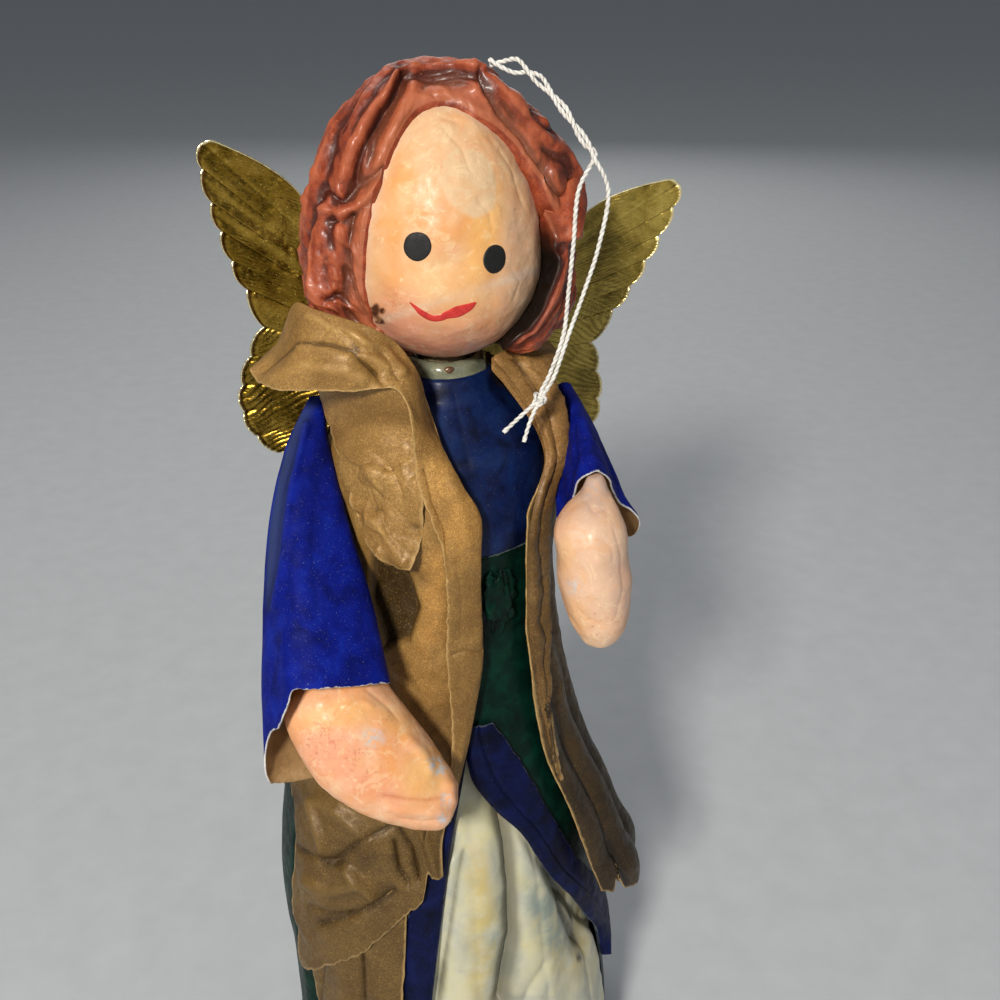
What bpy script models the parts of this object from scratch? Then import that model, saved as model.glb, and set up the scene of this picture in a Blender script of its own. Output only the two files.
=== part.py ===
# Papier-mache angel doll: a hollow paper cone carries an egg head, layered paper
# clothes, wire arms with mitten hands, foil wings and a cotton hanging loop.
# Lengths below are millimetres; MM turns them into metres. +Z is up, the doll
# faces -Y, its own right hand is on -X. Angles round the body are degrees from
# the front (-Y), positive towards +X.
import math

import bmesh
import bpy
from mathutils import Matrix, Vector

MM = 0.001

# ---------------------------------------------------------------- driving sizes
PAPER = 0.8            # thickness of a glued paper layer
GAP = 0.4              # clearance between neighbouring pieces
HEIGHT = 310.5         # crown above the base

BODY = [(0, 50), (40, 46.5), (80, 41.5), (120, 35.5), (150, 30), (172, 26.3),
        (190, 25.6), (208, 26.5), (222, 25), (230, 18), (236, 11.5), (250, 9)]
COAT = [(0, 53.4), (40, 49.9), (80, 44.9), (120, 38.9), (150, 33.4), (172, 29.7),
        (190, 29.0), (208, 29.9), (222, 28.6), (229, 24.5), (235, 17.5), (240, 14.4)]
CORE_INSET = 5.6       # core surface below the outer line of the gown
CORE_WALL = 2.2
WAIST_Z = 199.5

# front edges of the parted overskirt and of the folds turned back from it
OVER_R = [(0, -27), (72, -18), (111, -12), (120, -10), (145, -2), (160, 3), (200, 3)]
OVER_L = [(0, 75), (60, 68), (74, 57), (86, 48), (102, 34), (119, 24), (130, 12),
          (148, 6.5), (160, 5.5), (200, 5.5)]
TURN_R = [(5, -40), (72, -31), (120, -22), (150, -10)]
TURN_L = [(46, 92), (68, 80), (98, 53), (123, 36), (142, 23), (155, 11)]

# front edges, lapels and hems of the coat
COAT_EDGE_R = [(106, -12), (121, -13), (139, -7), (163, 3), (176, 7), (202, 6),
               (212, 7), (218, 2), (231, -12), (239, -26)]
LAPEL_R = [(130, -16), (153, -13.5), (181, -14), (192, -21), (211, -19), (230, -29),
           (237, -42)]
HEM_R = [(-80, 58), (-66, 68), (-40, 88), (-19, 106), (-8, 112)]
COAT_EDGE_L = [(70, 72), (82, 66), (105, 54), (137, 40), (159, 37), (186, 34),
               (209, 33), (219, 46), (231, 58), (239, 66)]
LAPEL_L = [(130, 56), (143, 60), (176, 58), (208, 52), (215, 56)]
HEM_L = [(40, 74), (72, 72), (99, 48)]
FLARE_L = 7.0          # how far the left hem corner stands off
LAPEL_LIFT = 1.5       # lapels stand this far off the panel under them
BACK_HEM = 24.0
SIDE_SEAM = 99.4       # where the front panels meet the back panel
VENT_FRONT = [(100, 78), (128, 99.4)]    # right side vent: front edge, back edge
VENT_BACK = [(100, 113), (128, 100.6)]

# head and hair
HEAD_Z, HEAD_R, HEAD_UP, HEAD_DOWN = 266.0, 23.3, 37.0, 22.5
HEAD_WALL = 2.6
HAIR = [(0, HEIGHT), (9.5, 310.1), (14, 306.8), (19, 301.8), (24, 295.5), (28.5, 284),
        (30.5, 275), (31.5, 266), (32, 258), (30, 251.8), (25, 248), (0, 248)]
HAIR_FRONT = 0.70      # the front half of the hair is this much flatter
FACE_ARCH = [(0, 298.5), (8, 296), (13.5, 291), (17.5, 284), (20.3, 275),
             (21.3, 266), (21.5, 256), (21.2, 236)]
PEG_R = 5.5

# arms: shoulder and wrist points, hand tips
SHOULDER_R = Vector((-31.0, 3.0, 233.0))
WRIST_R = Vector((-32.9, -35.8, 172.3))
TIP_R = Vector((-6.8, -49.5, 143.0))
SHOULDER_L = Vector((31.0, 3.0, 230.5))
CUFF_L = Vector((29.0, -31.0, 219.5))
WRIST_L = Vector((27.2, -41.8, 224.0))
TIP_L = Vector((29.4, -44.6, 185.0))
WRIST_IN_R, WRIST_IN_L = 4.0, 0.0   # how far the wrist reaches back into the cuff
WIRE_R = 0.8

# wings
WING_Y, WING_Z, WING_X = 33.0, 240.0, 3.0
WING_HALF_TAB = 7.5
WING_SWEEP = 5.0
WING_TILT_R, WING_TILT_L = 8.0, -7.0
WING_TOP = [(0.8, 8), (10, 15.5), (20, 22.5), (28, 28), (34, 33.6), (42, 38), (49.5, 40.6),
            (53.5, 41.6), (55.6, 40.6)]
WING_NOTCH = [(55.6, 40.6), (55.2, 34.5), (52.6, 26.5), (50, 19.5), (47, 12), (43, 5), (38.2, -5),
              (41.2, -13.5), (43, -22), (42.4, -29.5), (38.5, -36.5), (31.5, -41), (22, -39.5)]
WING_BULGE = 1.3
WING_CAMBER, WING_SPAN = 1.8, 62.0   # the foil bows backwards between root and tip
WING_FOOT = (0.8, -28)

CORD_R = 0.5


# ---------------------------------------------------------------- small helpers
def smooth(x, pts):
    """Hermite curve through (x, y) knots."""
    if x <= pts[0][0]:
        return pts[0][1]
    if x >= pts[-1][0]:
        return pts[-1][1]
    i = 0
    while x > pts[i + 1][0]:
        i += 1
    x0, y0 = pts[i]
    x1, y1 = pts[i + 1]
    h = x1 - x0

    def slope(k):
        if k == 0 or k == len(pts) - 1:
            a, b = (0, 1) if k == 0 else (k - 1, k)
            return (pts[b][1] - pts[a][1]) / (pts[b][0] - pts[a][0])
        d0 = (pts[k][1] - pts[k - 1][1]) / (pts[k][0] - pts[k - 1][0])
        d1 = (pts[k + 1][1] - pts[k][1]) / (pts[k + 1][0] - pts[k][0])
        if d0 * d1 <= 0:
            return 0.0
        return 2 * d0 * d1 / (d0 + d1)

    t = (x - x0) / h
    m0, m1 = slope(i) * h, slope(i + 1) * h
    return ((2 * t ** 3 - 3 * t ** 2 + 1) * y0 + (t ** 3 - 2 * t ** 2 + t) * m0
            + (-2 * t ** 3 + 3 * t ** 2) * y1 + (t ** 3 - t ** 2) * m1)


def lerp(a, b, t):
    return a + (b - a) * t


def step01(t):
    t = min(1.0, max(0.0, t))
    return t * t * (3 - 2 * t)


def polar(deg, r, z):
    a = math.radians(deg)
    return Vector((r * math.sin(a), -r * math.cos(a), z))


def body_r(z):
    return smooth(z, BODY)


def coat_r(z):
    return smooth(z, COAT)


for old in list(bpy.data.objects):
    bpy.data.objects.remove(old, do_unlink=True)

PARTS = bpy.data.collections.new("papier_mache_angel_doll")
CUTTERS = bpy.data.collections.new("cutters")
bpy.context.scene.collection.children.link(PARTS)
bpy.context.scene.collection.children.link(CUTTERS)


def paint(name, rgb, rough, metal=0.0):
    mat = bpy.data.materials.new(name)
    mat.use_nodes = True
    node = mat.node_tree.nodes["Principled BSDF"]
    node.inputs["Base Color"].default_value = (rgb[0], rgb[1], rgb[2], 1)
    node.inputs["Roughness"].default_value = rough
    node.inputs["Metallic"].default_value = metal
    mat.diffuse_color = (rgb[0], rgb[1], rgb[2], 1)
    return mat


def into(obj, coll):
    for c in list(obj.users_collection):
        c.objects.unlink(obj)
    coll.objects.link(obj)
    if coll is CUTTERS:
        obj.hide_render = True
        obj.display_type = 'WIRE'
    return obj


def dress(obj, mat):
    obj.data.materials.clear()
    obj.data.materials.append(mat)
    return obj


def centre_on(obj, point):
    """Put the object's origin on a joint without moving its shape."""
    p = Vector(point) * MM
    obj.data.transform(Matrix.Translation(-p))
    obj.location = p
    return obj


def from_bmesh(name, bm, coll=PARTS):
    mesh = bpy.data.meshes.new(name)
    bm.to_mesh(mesh)
    bm.free()
    obj = bpy.data.objects.new(name, mesh)
    coll.objects.link(obj)
    if coll is CUTTERS:
        obj.hide_render = True
        obj.display_type = 'WIRE'
    return obj


def bake(obj):
    """Replace an object's mesh by its evaluated shape and weld it."""
    deps = bpy.context.evaluated_depsgraph_get()
    mesh = bpy.data.meshes.new_from_object(obj.evaluated_get(deps))
    bm = bmesh.new()
    bm.from_mesh(mesh)
    bmesh.ops.remove_doubles(bm, verts=bm.verts, dist=1e-6)
    bm.to_mesh(mesh)
    bm.free()
    if obj.type == 'CURVE':
        name, coll = obj.name, obj.users_collection[0]
        bpy.data.objects.remove(obj, do_unlink=True)
        obj = bpy.data.objects.new(name, mesh)
        coll.objects.link(obj)
        obj.name = name
        return obj
    obj.modifiers.clear()
    obj.data = mesh
    return obj


def solidify(obj, thick, offset=1.0):
    mod = obj.modifiers.new("thickness", 'SOLIDIFY')
    mod.thickness = thick * MM
    mod.offset = offset
    mod.use_even_offset = True
    return obj


def sheet(name, nu, nv, place, mat, thick=PAPER, offset=1.0, closed=False):
    """A grid laid out by place(u, v) in mm and given a paper thickness."""
    bpy.ops.mesh.primitive_grid_add(x_subdivisions=nu, y_subdivisions=nv, size=2)
    obj = bpy.context.active_object
    obj.name = name
    obj.data.name = name
    into(obj, PARTS)
    for v in obj.data.vertices:
        v.co = place((v.co.x + 1) / 2, (v.co.y + 1) / 2) * MM
    if closed:
        bm = bmesh.new()
        bm.from_mesh(obj.data)
        bmesh.ops.remove_doubles(bm, verts=bm.verts, dist=1e-6)
        bm.to_mesh(obj.data)
        bm.free()
    solidify(obj, thick, offset)
    return dress(obj, mat)


def lathe(name, profile, steps, mat=None, coll=PARTS):
    """Turn a closed profile (radius, z) about Z; the outer side runs downwards."""
    bm = bmesh.new()
    vs = [bm.verts.new((r * MM, 0, z * MM)) for r, z in profile]
    on_axis = profile[0][0] == 0 and profile[-1][0] == 0
    for a, b in zip(vs, vs[1:]):
        bm.edges.new((a, b))
    if not on_axis:
        bm.edges.new((vs[-1], vs[0]))
    obj = from_bmesh(name, bm, coll)
    mod = obj.modifiers.new("turn", 'SCREW')
    mod.axis = 'Z'
    mod.angle = math.tau
    mod.steps = steps
    mod.render_steps = steps
    mod.use_merge_vertices = True
    mod.merge_threshold = 0.00001
    mod.use_smooth_shade = False
    if mat:
        dress(obj, mat)
    return obj


def blob(name, nu, nv, place, mat):
    """A ball reshaped by place(unit vector) in mm."""
    bm = bmesh.new()
    bmesh.ops.create_uvsphere(bm, u_segments=nu, v_segments=nv, radius=1.0)
    for v in bm.verts:
        v.co = place(v.co.copy()) * MM
    if bm.calc_volume(signed=True) < 0:
        bmesh.ops.reverse_faces(bm, faces=bm.faces)
    return dress(from_bmesh(name, bm), mat)


def tube(name, points, radius, mat, ring=2):
    """A round wire or cord along points in mm, ends closed."""
    curve = bpy.data.curves.new(name, 'CURVE')
    curve.dimensions = '3D'
    curve.bevel_depth = radius * MM
    curve.bevel_resolution = ring
    curve.use_fill_caps = True
    spl = curve.splines.new('POLY')
    spl.points.add(len(points) - 1)
    for p, q in zip(spl.points, points):
        p.co = (q[0] * MM, q[1] * MM, q[2] * MM, 1)
    obj = bpy.data.objects.new(name, curve)
    PARTS.objects.link(obj)
    return dress(bake(obj), mat)


def spline(ctrl, n):
    """n points evenly spaced along a Catmull-Rom curve through ctrl."""
    c = [Vector(p) for p in ctrl]
    c = [c[0] * 2 - c[1]] + c + [c[-1] * 2 - c[-2]]
    fine = []
    for i in range(1, len(c) - 2):
        for k in range(24):
            t = k / 24
            a, b, d, e = c[i - 1], c[i], c[i + 1], c[i + 2]
            fine.append(0.5 * ((2 * b) + (d - a) * t + (2 * a - 5 * b + 4 * d - e) * t * t
                               + (3 * b - a - 3 * d + e) * t ** 3))
    fine.append(c[-2])
    dist = [0.0]
    for a, b in zip(fine, fine[1:]):
        dist.append(dist[-1] + (b - a).length)
    out, j = [], 0
    for i in range(n):
        want = dist[-1] * i / (n - 1)
        while j < len(dist) - 2 and dist[j + 1] < want:
            j += 1
        t = (want - dist[j]) / max(1e-9, dist[j + 1] - dist[j])
        out.append(fine[j].lerp(fine[j + 1], min(1.0, t)))
    return out


def boolean(obj, cutter, how='DIFFERENCE'):
    mod = obj.modifiers.new(how.lower(), 'BOOLEAN')
    mod.operation = how
    mod.solver = 'EXACT'
    mod.object = cutter
    return obj


def block(name, lo, hi):
    bm = bmesh.new()
    bmesh.ops.create_cube(bm, size=1.0)
    for v in bm.verts:
        v.co = Vector([lerp(lo[k], hi[k], v.co[k] + 0.5) * MM for k in range(3)])
    return from_bmesh(name, bm, CUTTERS)


def axis_node(name, point):
    e = bpy.data.objects.new(name, None)
    e.location = Vector(point) * MM
    PARTS.objects.link(e)
    return e


def hang_on(child, parent):
    child.parent = parent
    child.matrix_parent_inverse = Matrix.Translation(-parent.location)


# ---------------------------------------------------------------- paints
CARD = paint("card", (0.36, 0.29, 0.20), 0.9)
CARD_BASE = paint("base_card", (0.32, 0.26, 0.18), 0.9)
PEG = paint("peg_card", (0.45, 0.36, 0.24), 0.85)
SKIN_HEAD = paint("skin_head", (0.82, 0.50, 0.30), 0.30)
SKIN_R = paint("skin_right_hand", (0.82, 0.46, 0.26), 0.32)
SKIN_L = paint("skin_left_hand", (0.84, 0.50, 0.30), 0.32)
NECK = paint("neck_paint", (0.72, 0.70, 0.52), 0.35)
HAIR_B = paint("hair_back_paint", (0.26, 0.07, 0.03), 0.40)
HAIR_R = paint("hair_right_paint", (0.28, 0.08, 0.03), 0.40)
HAIR_L = paint("hair_left_paint", (0.28, 0.08, 0.03), 0.40)
BLUE = paint("bodice_blue", (0.02, 0.03, 0.16), 0.45)
BLUE_SR = paint("right_sleeve_blue", (0.02, 0.03, 0.30), 0.40)
BLUE_SL = paint("left_sleeve_blue", (0.02, 0.03, 0.30), 0.40)
BLUE_TR = paint("right_turnback_blue", (0.03, 0.05, 0.32), 0.45)
BLUE_TL = paint("left_turnback_blue", (0.03, 0.05, 0.32), 0.45)
WHITE = paint("underskirt_white", (0.72, 0.69, 0.60), 0.45)
GREEN = paint("overskirt_green", (0.01, 0.12, 0.08), 0.40)
GREEN_K = paint("knot_green", (0.01, 0.14, 0.09), 0.40)
GOLD_B = paint("coat_back_gold", (0.45, 0.31, 0.12), 0.45, 0.35)
GOLD_R = paint("coat_right_gold", (0.47, 0.33, 0.13), 0.45, 0.35)
GOLD_L = paint("coat_left_gold", (0.46, 0.32, 0.13), 0.45, 0.35)
GOLD_T = paint("coat_tail_gold", (0.42, 0.29, 0.11), 0.45, 0.35)
GOLD_LR = paint("right_lapel_gold", (0.50, 0.36, 0.16), 0.45, 0.35)
GOLD_LL = paint("left_lapel_gold", (0.50, 0.36, 0.16), 0.45, 0.35)
GOLD_CR = paint("right_collar_gold", (0.50, 0.36, 0.16), 0.45, 0.35)
GOLD_CL = paint("left_collar_gold", (0.50, 0.36, 0.16), 0.45, 0.35)
FOIL_R = paint("right_wing_foil", (0.55, 0.42, 0.16), 0.28, 0.9)
FOIL_L = paint("left_wing_foil", (0.55, 0.42, 0.16), 0.28, 0.9)
FOIL_T = paint("wing_tab_foil", (0.50, 0.38, 0.15), 0.32, 0.9)
GLUE = paint("wing_glue", (0.70, 0.66, 0.52), 0.3)
WIRE_MR = paint("right_wire_steel", (0.35, 0.33, 0.30), 0.45, 1.0)
WIRE_ML = paint("left_wire_steel", (0.35, 0.33, 0.30), 0.45, 1.0)
COTTON_A = paint("cord_a_cotton", (0.80, 0.77, 0.68), 0.85)
COTTON_B = paint("cord_b_cotton", (0.80, 0.77, 0.68), 0.85)
COTTON_K = paint("cord_knot_cotton", (0.80, 0.77, 0.68), 0.85)

# ---------------------------------------------------------------- core and base
CORE_LEVELS = [222, 208, 190, 172, 150, 120, 80, 40, 0]


def core_r(z):
    return body_r(z) - CORE_INSET


outer = [(7.5, 233.5), (13.2, 229)] + [(core_r(z), z) for z in CORE_LEVELS]
inner = [(core_r(z) - CORE_WALL, z) for z in reversed(CORE_LEVELS)]
inner += [(11.3, 227.0), (PEG_R + 0.6, 231)]
lathe("core_shell", outer + inner, 20, CARD)

disc_r = core_r(0) - CORE_WALL - 0.8
lathe("base_disc", [(0, 3), (disc_r - 0.6, 3), (disc_r - 0.2, 2.2), (disc_r - 0.6, 0), (0, 0)],
      32, CARD_BASE)

lathe("bodice", [(11.5, 236.2), (18, 230.4), (24.8, 222), (26.5, 208), (25.9, 200.2),
                 (22, 200.2), (22.4, 208), (20.8, 222), (15, 229.6), (9.5, 234.6)], 24, BLUE)

lathe("neck_peg", [(0, 258), (PEG_R - 0.6, 258), (PEG_R, 257), (PEG_R, 206), (0, 206)], 16, PEG)
lathe("neck_ring", [(9.2, 244.6), (10.3, 241.8), (10.7, 237.0), (PEG_R + 0.5, 237.0),
                    (PEG_R + 0.5, 243.4)], 24, NECK)


# ---------------------------------------------------------------- skirts
def pleat(deg):
    """Rounded folds across the front, flat elsewhere (mm above the valley)."""
    d = (deg + 180) % 360 - 180
    across = step01((d + 48) / 14) * step01((92 - d) / 14)
    return 0.4 + 2.0 * across * abs(math.sin(math.radians((d + 28) * 180 / 30)))


def place_under(u, v):
    z = lerp(0.5, 150, v)
    deg = lerp(-180, 180, u)
    return polar(deg, body_r(z) - 4.4 + pleat(deg) * (1 - 0.6 * v), z)


sheet("underskirt", 48, 3, place_under, WHITE, closed=True)

OVER_ROWS = [1.0, 34, 66, 90, 112, 132, 150, 164, 182, WAIST_Z]


def row(levels, v):
    x = v * (len(levels) - 1)
    i = min(int(x), len(levels) - 2)
    return lerp(levels[i], levels[i + 1], x - i)


def place_over(u, v):
    z = row(OVER_ROWS, v)
    deg = lerp(smooth(z, OVER_L), 360 + smooth(z, OVER_R), u)
    return polar(deg, body_r(z) - 0.7, z)


sheet("overskirt", 28, len(OVER_ROWS) - 1, place_over, GREEN)


def place_turn_r(u, v):
    z = lerp(6, 146, v)
    return polar(lerp(smooth(z, TURN_R), smooth(z, OVER_R), u), body_r(z) + 0.5, z)


def place_turn_l(u, v):
    z = lerp(47, 153, v)
    return polar(lerp(smooth(z, OVER_L), smooth(z, TURN_L), u), body_r(z) + 0.7, z)


sheet("overskirt_right_turnback", 4, 9, place_turn_r, BLUE_TR, thick=0.7)
sheet("overskirt_left_turnback", 5, 9, place_turn_l, BLUE_TL, thick=0.7)

KNOT_AT = polar(19.5, body_r(186) + 4.2, 186)
KNOT_OUT = polar(19.5, 1, 0)
KNOT_SIDE = Vector((-KNOT_OUT.y, KNOT_OUT.x, 0))
blob("waist_knot", 12, 8, lambda p: KNOT_AT + KNOT_SIDE * (5.0 * p.x) + KNOT_OUT * (3.4 * p.y)
     + Vector((0, 0, 7.0 * p.z)), GREEN_K)


# ---------------------------------------------------------------- coat
def rows_up(v):
    """More rows where the shoulder turns over."""
    return 1 - (1 - v) ** 1.35


def place_back(u, v):
    z = lerp(BACK_HEM, 239.5, rows_up(v))
    return polar(lerp(SIDE_SEAM + 1.2, 360 - smooth(z, VENT_BACK), u), coat_r(z), z)


def place_front_r(u, v):
    w, deg = rows_up(v), lerp(-SIDE_SEAM, -8, u)
    for _ in range(4):
        z = lerp(smooth(deg, HEM_R), 239.0, w)
        deg = lerp(-smooth(z, VENT_FRONT), smooth(z, COAT_EDGE_R), u)
    return polar(deg, coat_r(z), z)


def place_front_l(u, v):
    w, deg = rows_up(v), lerp(60, SIDE_SEAM, u)
    for _ in range(4):
        z = lerp(smooth(deg, HEM_L), 239.0, w)
        deg = lerp(smooth(z, COAT_EDGE_L), SIDE_SEAM, u)
    out = FLARE_L * step01((112 - z) / 42) * (1 - u) ** 1.2
    return polar(deg, coat_r(z) + out, z)


def place_tail(u, v):
    deg = lerp(-79, -30 + 4 * v, u)
    z = lerp(BACK_HEM, smooth(deg, HEM_R) + 13, v)
    return polar(deg, body_r(z) + 2.0, z)


sheet("coat_back", 10, 10, place_back, GOLD_B)
sheet("coat_right_front", 7, 10, place_front_r, GOLD_R)
sheet("coat_left_front", 4, 10, place_front_l, GOLD_L)
sheet("coat_right_tail", 6, 5, place_tail, GOLD_T, thick=0.7)


def place_lapel_r(u, v):
    z = lerp(131, 236.5, v)
    return polar(lerp(smooth(z, LAPEL_R), smooth(z, COAT_EDGE_R) - 0.6, u),
                 coat_r(z) + PAPER + LAPEL_LIFT, z)


def place_lapel_l(u, v):
    z = lerp(131, 214, v)
    return polar(lerp(smooth(z, COAT_EDGE_L) + 0.6, smooth(z, LAPEL_L), u),
                 coat_r(z) + PAPER + LAPEL_LIFT, z)


sheet("coat_right_lapel", 3, 11, place_lapel_r, GOLD_LR)
sheet("coat_left_lapel", 3, 8, place_lapel_l, GOLD_LL)

COLLAR_R = [(38, 19.5), (55, 33), (70, 40), (84, 45.5), (100, 41), (130, 34), (158, 28)]
COLLAR_L = [(56, 21), (68, 32), (84, 40), (100, 38), (130, 34), (158, 28)]


def collar(u, v, outline, side, stand=0.0):
    """Collar from the neck to its edge; stand raises a ridge outside the hair."""
    deg = lerp(outline[0][0], outline[-1][0], u)
    far = smooth(deg, outline)
    r = lerp(15.2, far, v)
    z = 240.7 + 2.6 * math.sin(min(1.0, (r - 15.2) / 7.0) * math.pi / 2) \
        - 3.6 * step01((r - 20) / 26)
    ridge = min(33.5, far - 1.5)
    if r < ridge:
        rise = step01((r - ridge + 6.5) / 6.5)
    else:
        rise = 1 - ((r - ridge) / (far - ridge)) ** 2
    z += stand * rise * step01((deg - 44) / 18) * step01((106 - deg) / 16)
    return polar(side * deg, r, z)


sheet("coat_right_collar", 10, 5, lambda u, v: collar(1 - u, 1 - v, COLLAR_R, -1, 13), GOLD_CR)
sheet("coat_left_collar", 9, 5, lambda u, v: collar(u, 1 - v, COLLAR_L, 1), GOLD_CL)

# ---------------------------------------------------------------- head and hair


def egg(grow, n_up, n_down, low_r):
    """Profile of the head from crown to the neck opening."""
    pts = []
    for i in range(n_up):
        a = math.radians(90 * (1 - i / n_up))
        pts.append(((HEAD_R + grow) * math.cos(a), HEAD_Z + (HEAD_UP + grow) * math.sin(a)))
    pts[0] = (0, HEAD_Z + HEAD_UP + grow)
    last = math.acos(low_r / (HEAD_R + grow))
    for i in range(n_down + 1):
        a = last * i / n_down
        pts.append(((HEAD_R + grow) * math.cos(a), HEAD_Z - (HEAD_DOWN + grow) * math.sin(a)))
    return pts


shell = egg(0, 7, 5, PEG_R + 0.5)
hollow = egg(-HEAD_WALL, 4, 3, PEG_R + 0.5)
lathe("head", shell + hollow[::-1], 20, SKIN_HEAD)

egg_cut = lathe("head_clearance", egg(GAP, 7, 6, 0.0)[:-1] + [(0, HEAD_Z - HEAD_DOWN - GAP)],
                20, coll=CUTTERS)
egg_cut = bake(egg_cut)

arch = bmesh.new()
edge = [Vector((x, 2, z)) for x, z in FACE_ARCH]
edge += [Vector((-x, 2, z)) for x, z in reversed(FACE_ARCH[1:])]
face = arch.faces.new([arch.verts.new(p * MM) for p in edge])
push = bmesh.ops.extrude_face_region(arch, geom=[face])
for item in push["geom"]:
    if isinstance(item, bmesh.types.BMVert):
        item.co.y -= 62 * MM
bmesh.ops.recalc_face_normals(arch, faces=arch.faces)
arch_cut = from_bmesh("face_opening", arch, CUTTERS)


def hair_piece(name, lo, hi, mat, front):
    obj = lathe(name, HAIR, 24, mat)
    obj = bake(obj)
    for v in obj.data.vertices:
        if v.co.y < 0:
            v.co.y *= HAIR_FRONT
    boolean(obj, block(name + "_zone", lo, hi), 'INTERSECT')
    boolean(obj, egg_cut)
    if front:
        boolean(obj, arch_cut)
    obj = bake(obj)
    return dress(obj, mat)


hair_piece("hair_back", (-60, 0.25, 200), (60, 60, 330), HAIR_B, False)
hair_piece("hair_right_lock", (-60, -60, 200), (-0.25, -0.25, 330), HAIR_R, True)
hair_piece("hair_left_lock", (0.25, -60, 200), (60, -0.25, 330), HAIR_L, True)


# ---------------------------------------------------------------- arms
def sleeve(name, top, low, half_w, half_t, lead, shift, longer, long_at, mat, nu, nv):
    """Paper cone from shoulder to cuff, flattened against the body."""
    along = (low - top).normalized()
    out = Vector((top.x + low.x, top.y + low.y, 0)).normalized()
    out = (out - along * out.dot(along)).normalized()
    side = along.cross(out)
    length = (low - top).length

    def place(u, v):
        a = math.tau * u
        t = lerp(lead, 1.0, v)
        extra = longer * v ** 2 * (0.5 + 0.5 * math.cos(a - math.radians(long_at))) ** 1.5
        c = top + along * (length * t + extra) + Vector((smooth(t, shift), 0, 0))
        return c + out * (smooth(t, half_t) * math.cos(a)) + side * (smooth(t, half_w) * math.sin(a))

    return sheet(name, nu, nv, place, mat, closed=True, offset=-1.0)


r_axis = axis_node("right_shoulder_axis", SHOULDER_R)
l_axis = axis_node("left_shoulder_axis", SHOULDER_L)

sleeve_r = sleeve("right_sleeve", SHOULDER_R, WRIST_R,
                  [(0, 3.0), (0.18, 6.8), (0.48, 11.6), (0.76, 14.2), (1, 15.8)],
                  [(0, 2.6), (0.18, 4.6), (0.48, 7.2), (0.76, 10.0), (1, 13.5)],
                  0.0, [(0, 0), (0.18, -4.2), (0.42, -5.0), (0.7, -3.4), (1, -1.6)],
                  18, 35, BLUE_SR, 16, 6)
sleeve_l = sleeve("left_sleeve", SHOULDER_L, CUFF_L,
                  [(0, 2.8), (0.3, 5.2), (0.6, 7.4), (1, 9.8)],
                  [(0, 2.6), (0.3, 4.6), (0.6, 6.6), (1, 9.2)],
                  0.0, [(0, 0), (0.3, 2.6), (0.6, 2.0), (1, 0.6)],
                  3, -60, BLUE_SL, 16, 5)

HAND_W = [(0, 0), (0.02, 3.2), (0.14, 5.6), (0.3, 9.6), (0.5, 13.2), (0.7, 13.6), (0.86, 11.4),
          (0.96, 7.0), (1, 0)]
HAND_T = [(0, 0), (0.02, 3.0), (0.14, 5.0), (0.3, 7.4), (0.5, 8.8), (0.7, 8.2), (0.86, 6.6),
          (0.96, 4.2), (1, 0)]
LEFT_W, LEFT_T = 0.72, 1.05


def hand(name, wrist, tip, inside, wide, thick, across, mat):
    along = (tip - wrist).normalized()
    side = (across - along * across.dot(along)).normalized()
    out = along.cross(side)
    reach = (tip - wrist).length + inside

    def place(p):
        t = (p.z + 1) / 2
        t = step01(t) * 0.35 + t * 0.65
        ring = math.hypot(p.x, p.y)
        cx, cy = (p.x / ring, p.y / ring) if ring > 1e-6 else (0, 0)
        return (wrist + along * (reach * t - inside) + side * (cx * wide * smooth(t, HAND_W))
                + out * (cy * thick * smooth(t, HAND_T)))

    return blob(name, 16, 12, place, mat), along, side, out


hand_r, go_r, side_r, out_r = hand("right_hand", WRIST_R, TIP_R, WRIST_IN_R, 1.0, 1.0,
                                   Vector((0.7, 0.0, 0.72)), SKIN_R)
hand_l, go_l, side_l, out_l = hand("left_hand", WRIST_L, TIP_L, WRIST_IN_L, LEFT_W, LEFT_T,
                                   Vector((1, 0, 0)), SKIN_L)


# each wire ends just short of the wrist it carries; the wrist bends there
PIVOT_R = WRIST_R - go_r * (WRIST_IN_R + 1.6)
PIVOT_L = WRIST_L - go_l * (WRIST_IN_L + 1.6)


def arm_wire(name, top, through, end, mat):
    start = top + (through[0] - top).normalized() * 1.5
    return tube(name, spline([start] + through + [end], 9), WIRE_R, mat, ring=1)


wire_r = arm_wire("right_arm_wire", SHOULDER_R,
                  [Vector((-36.5, -8.0, 215.0)), Vector((-37.0, -24.0, 190.0))], PIVOT_R, WIRE_MR)
wire_l = arm_wire("left_arm_wire", SHOULDER_L,
                  [Vector((31.6, -12.0, 226.0)), Vector((29.4, -30.0, 221.5)),
                   Vector((27.8, -38.0, 224.2))], PIVOT_L + Vector((0.0, 0.6, 0.2)), WIRE_ML)

for obj in (sleeve_r, wire_r):
    centre_on(obj, SHOULDER_R)
    hang_on(obj, r_axis)
for obj in (sleeve_l, wire_l):
    centre_on(obj, SHOULDER_L)
    hang_on(obj, l_axis)
centre_on(hand_r, PIVOT_R)
hang_on(hand_r, r_axis)
centre_on(hand_l, PIVOT_L)
hang_on(hand_l, l_axis)

# ---------------------------------------------------------------- wings


def wing_outline():
    pts = list(WING_TOP)
    for (x0, y0), (x1, y1) in zip(WING_NOTCH, WING_NOTCH[1:]):
        n = Vector((-(y1 - y0), x1 - x0)).normalized()
        for k in range(1, 5):
            t = k / 4
            b = WING_BULGE * 4 * t * (1 - t)
            pts.append((lerp(x0, x1, t) + n.x * b, lerp(y0, y1, t) + n.y * b))
    pts.append(WING_FOOT)
    return pts


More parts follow.
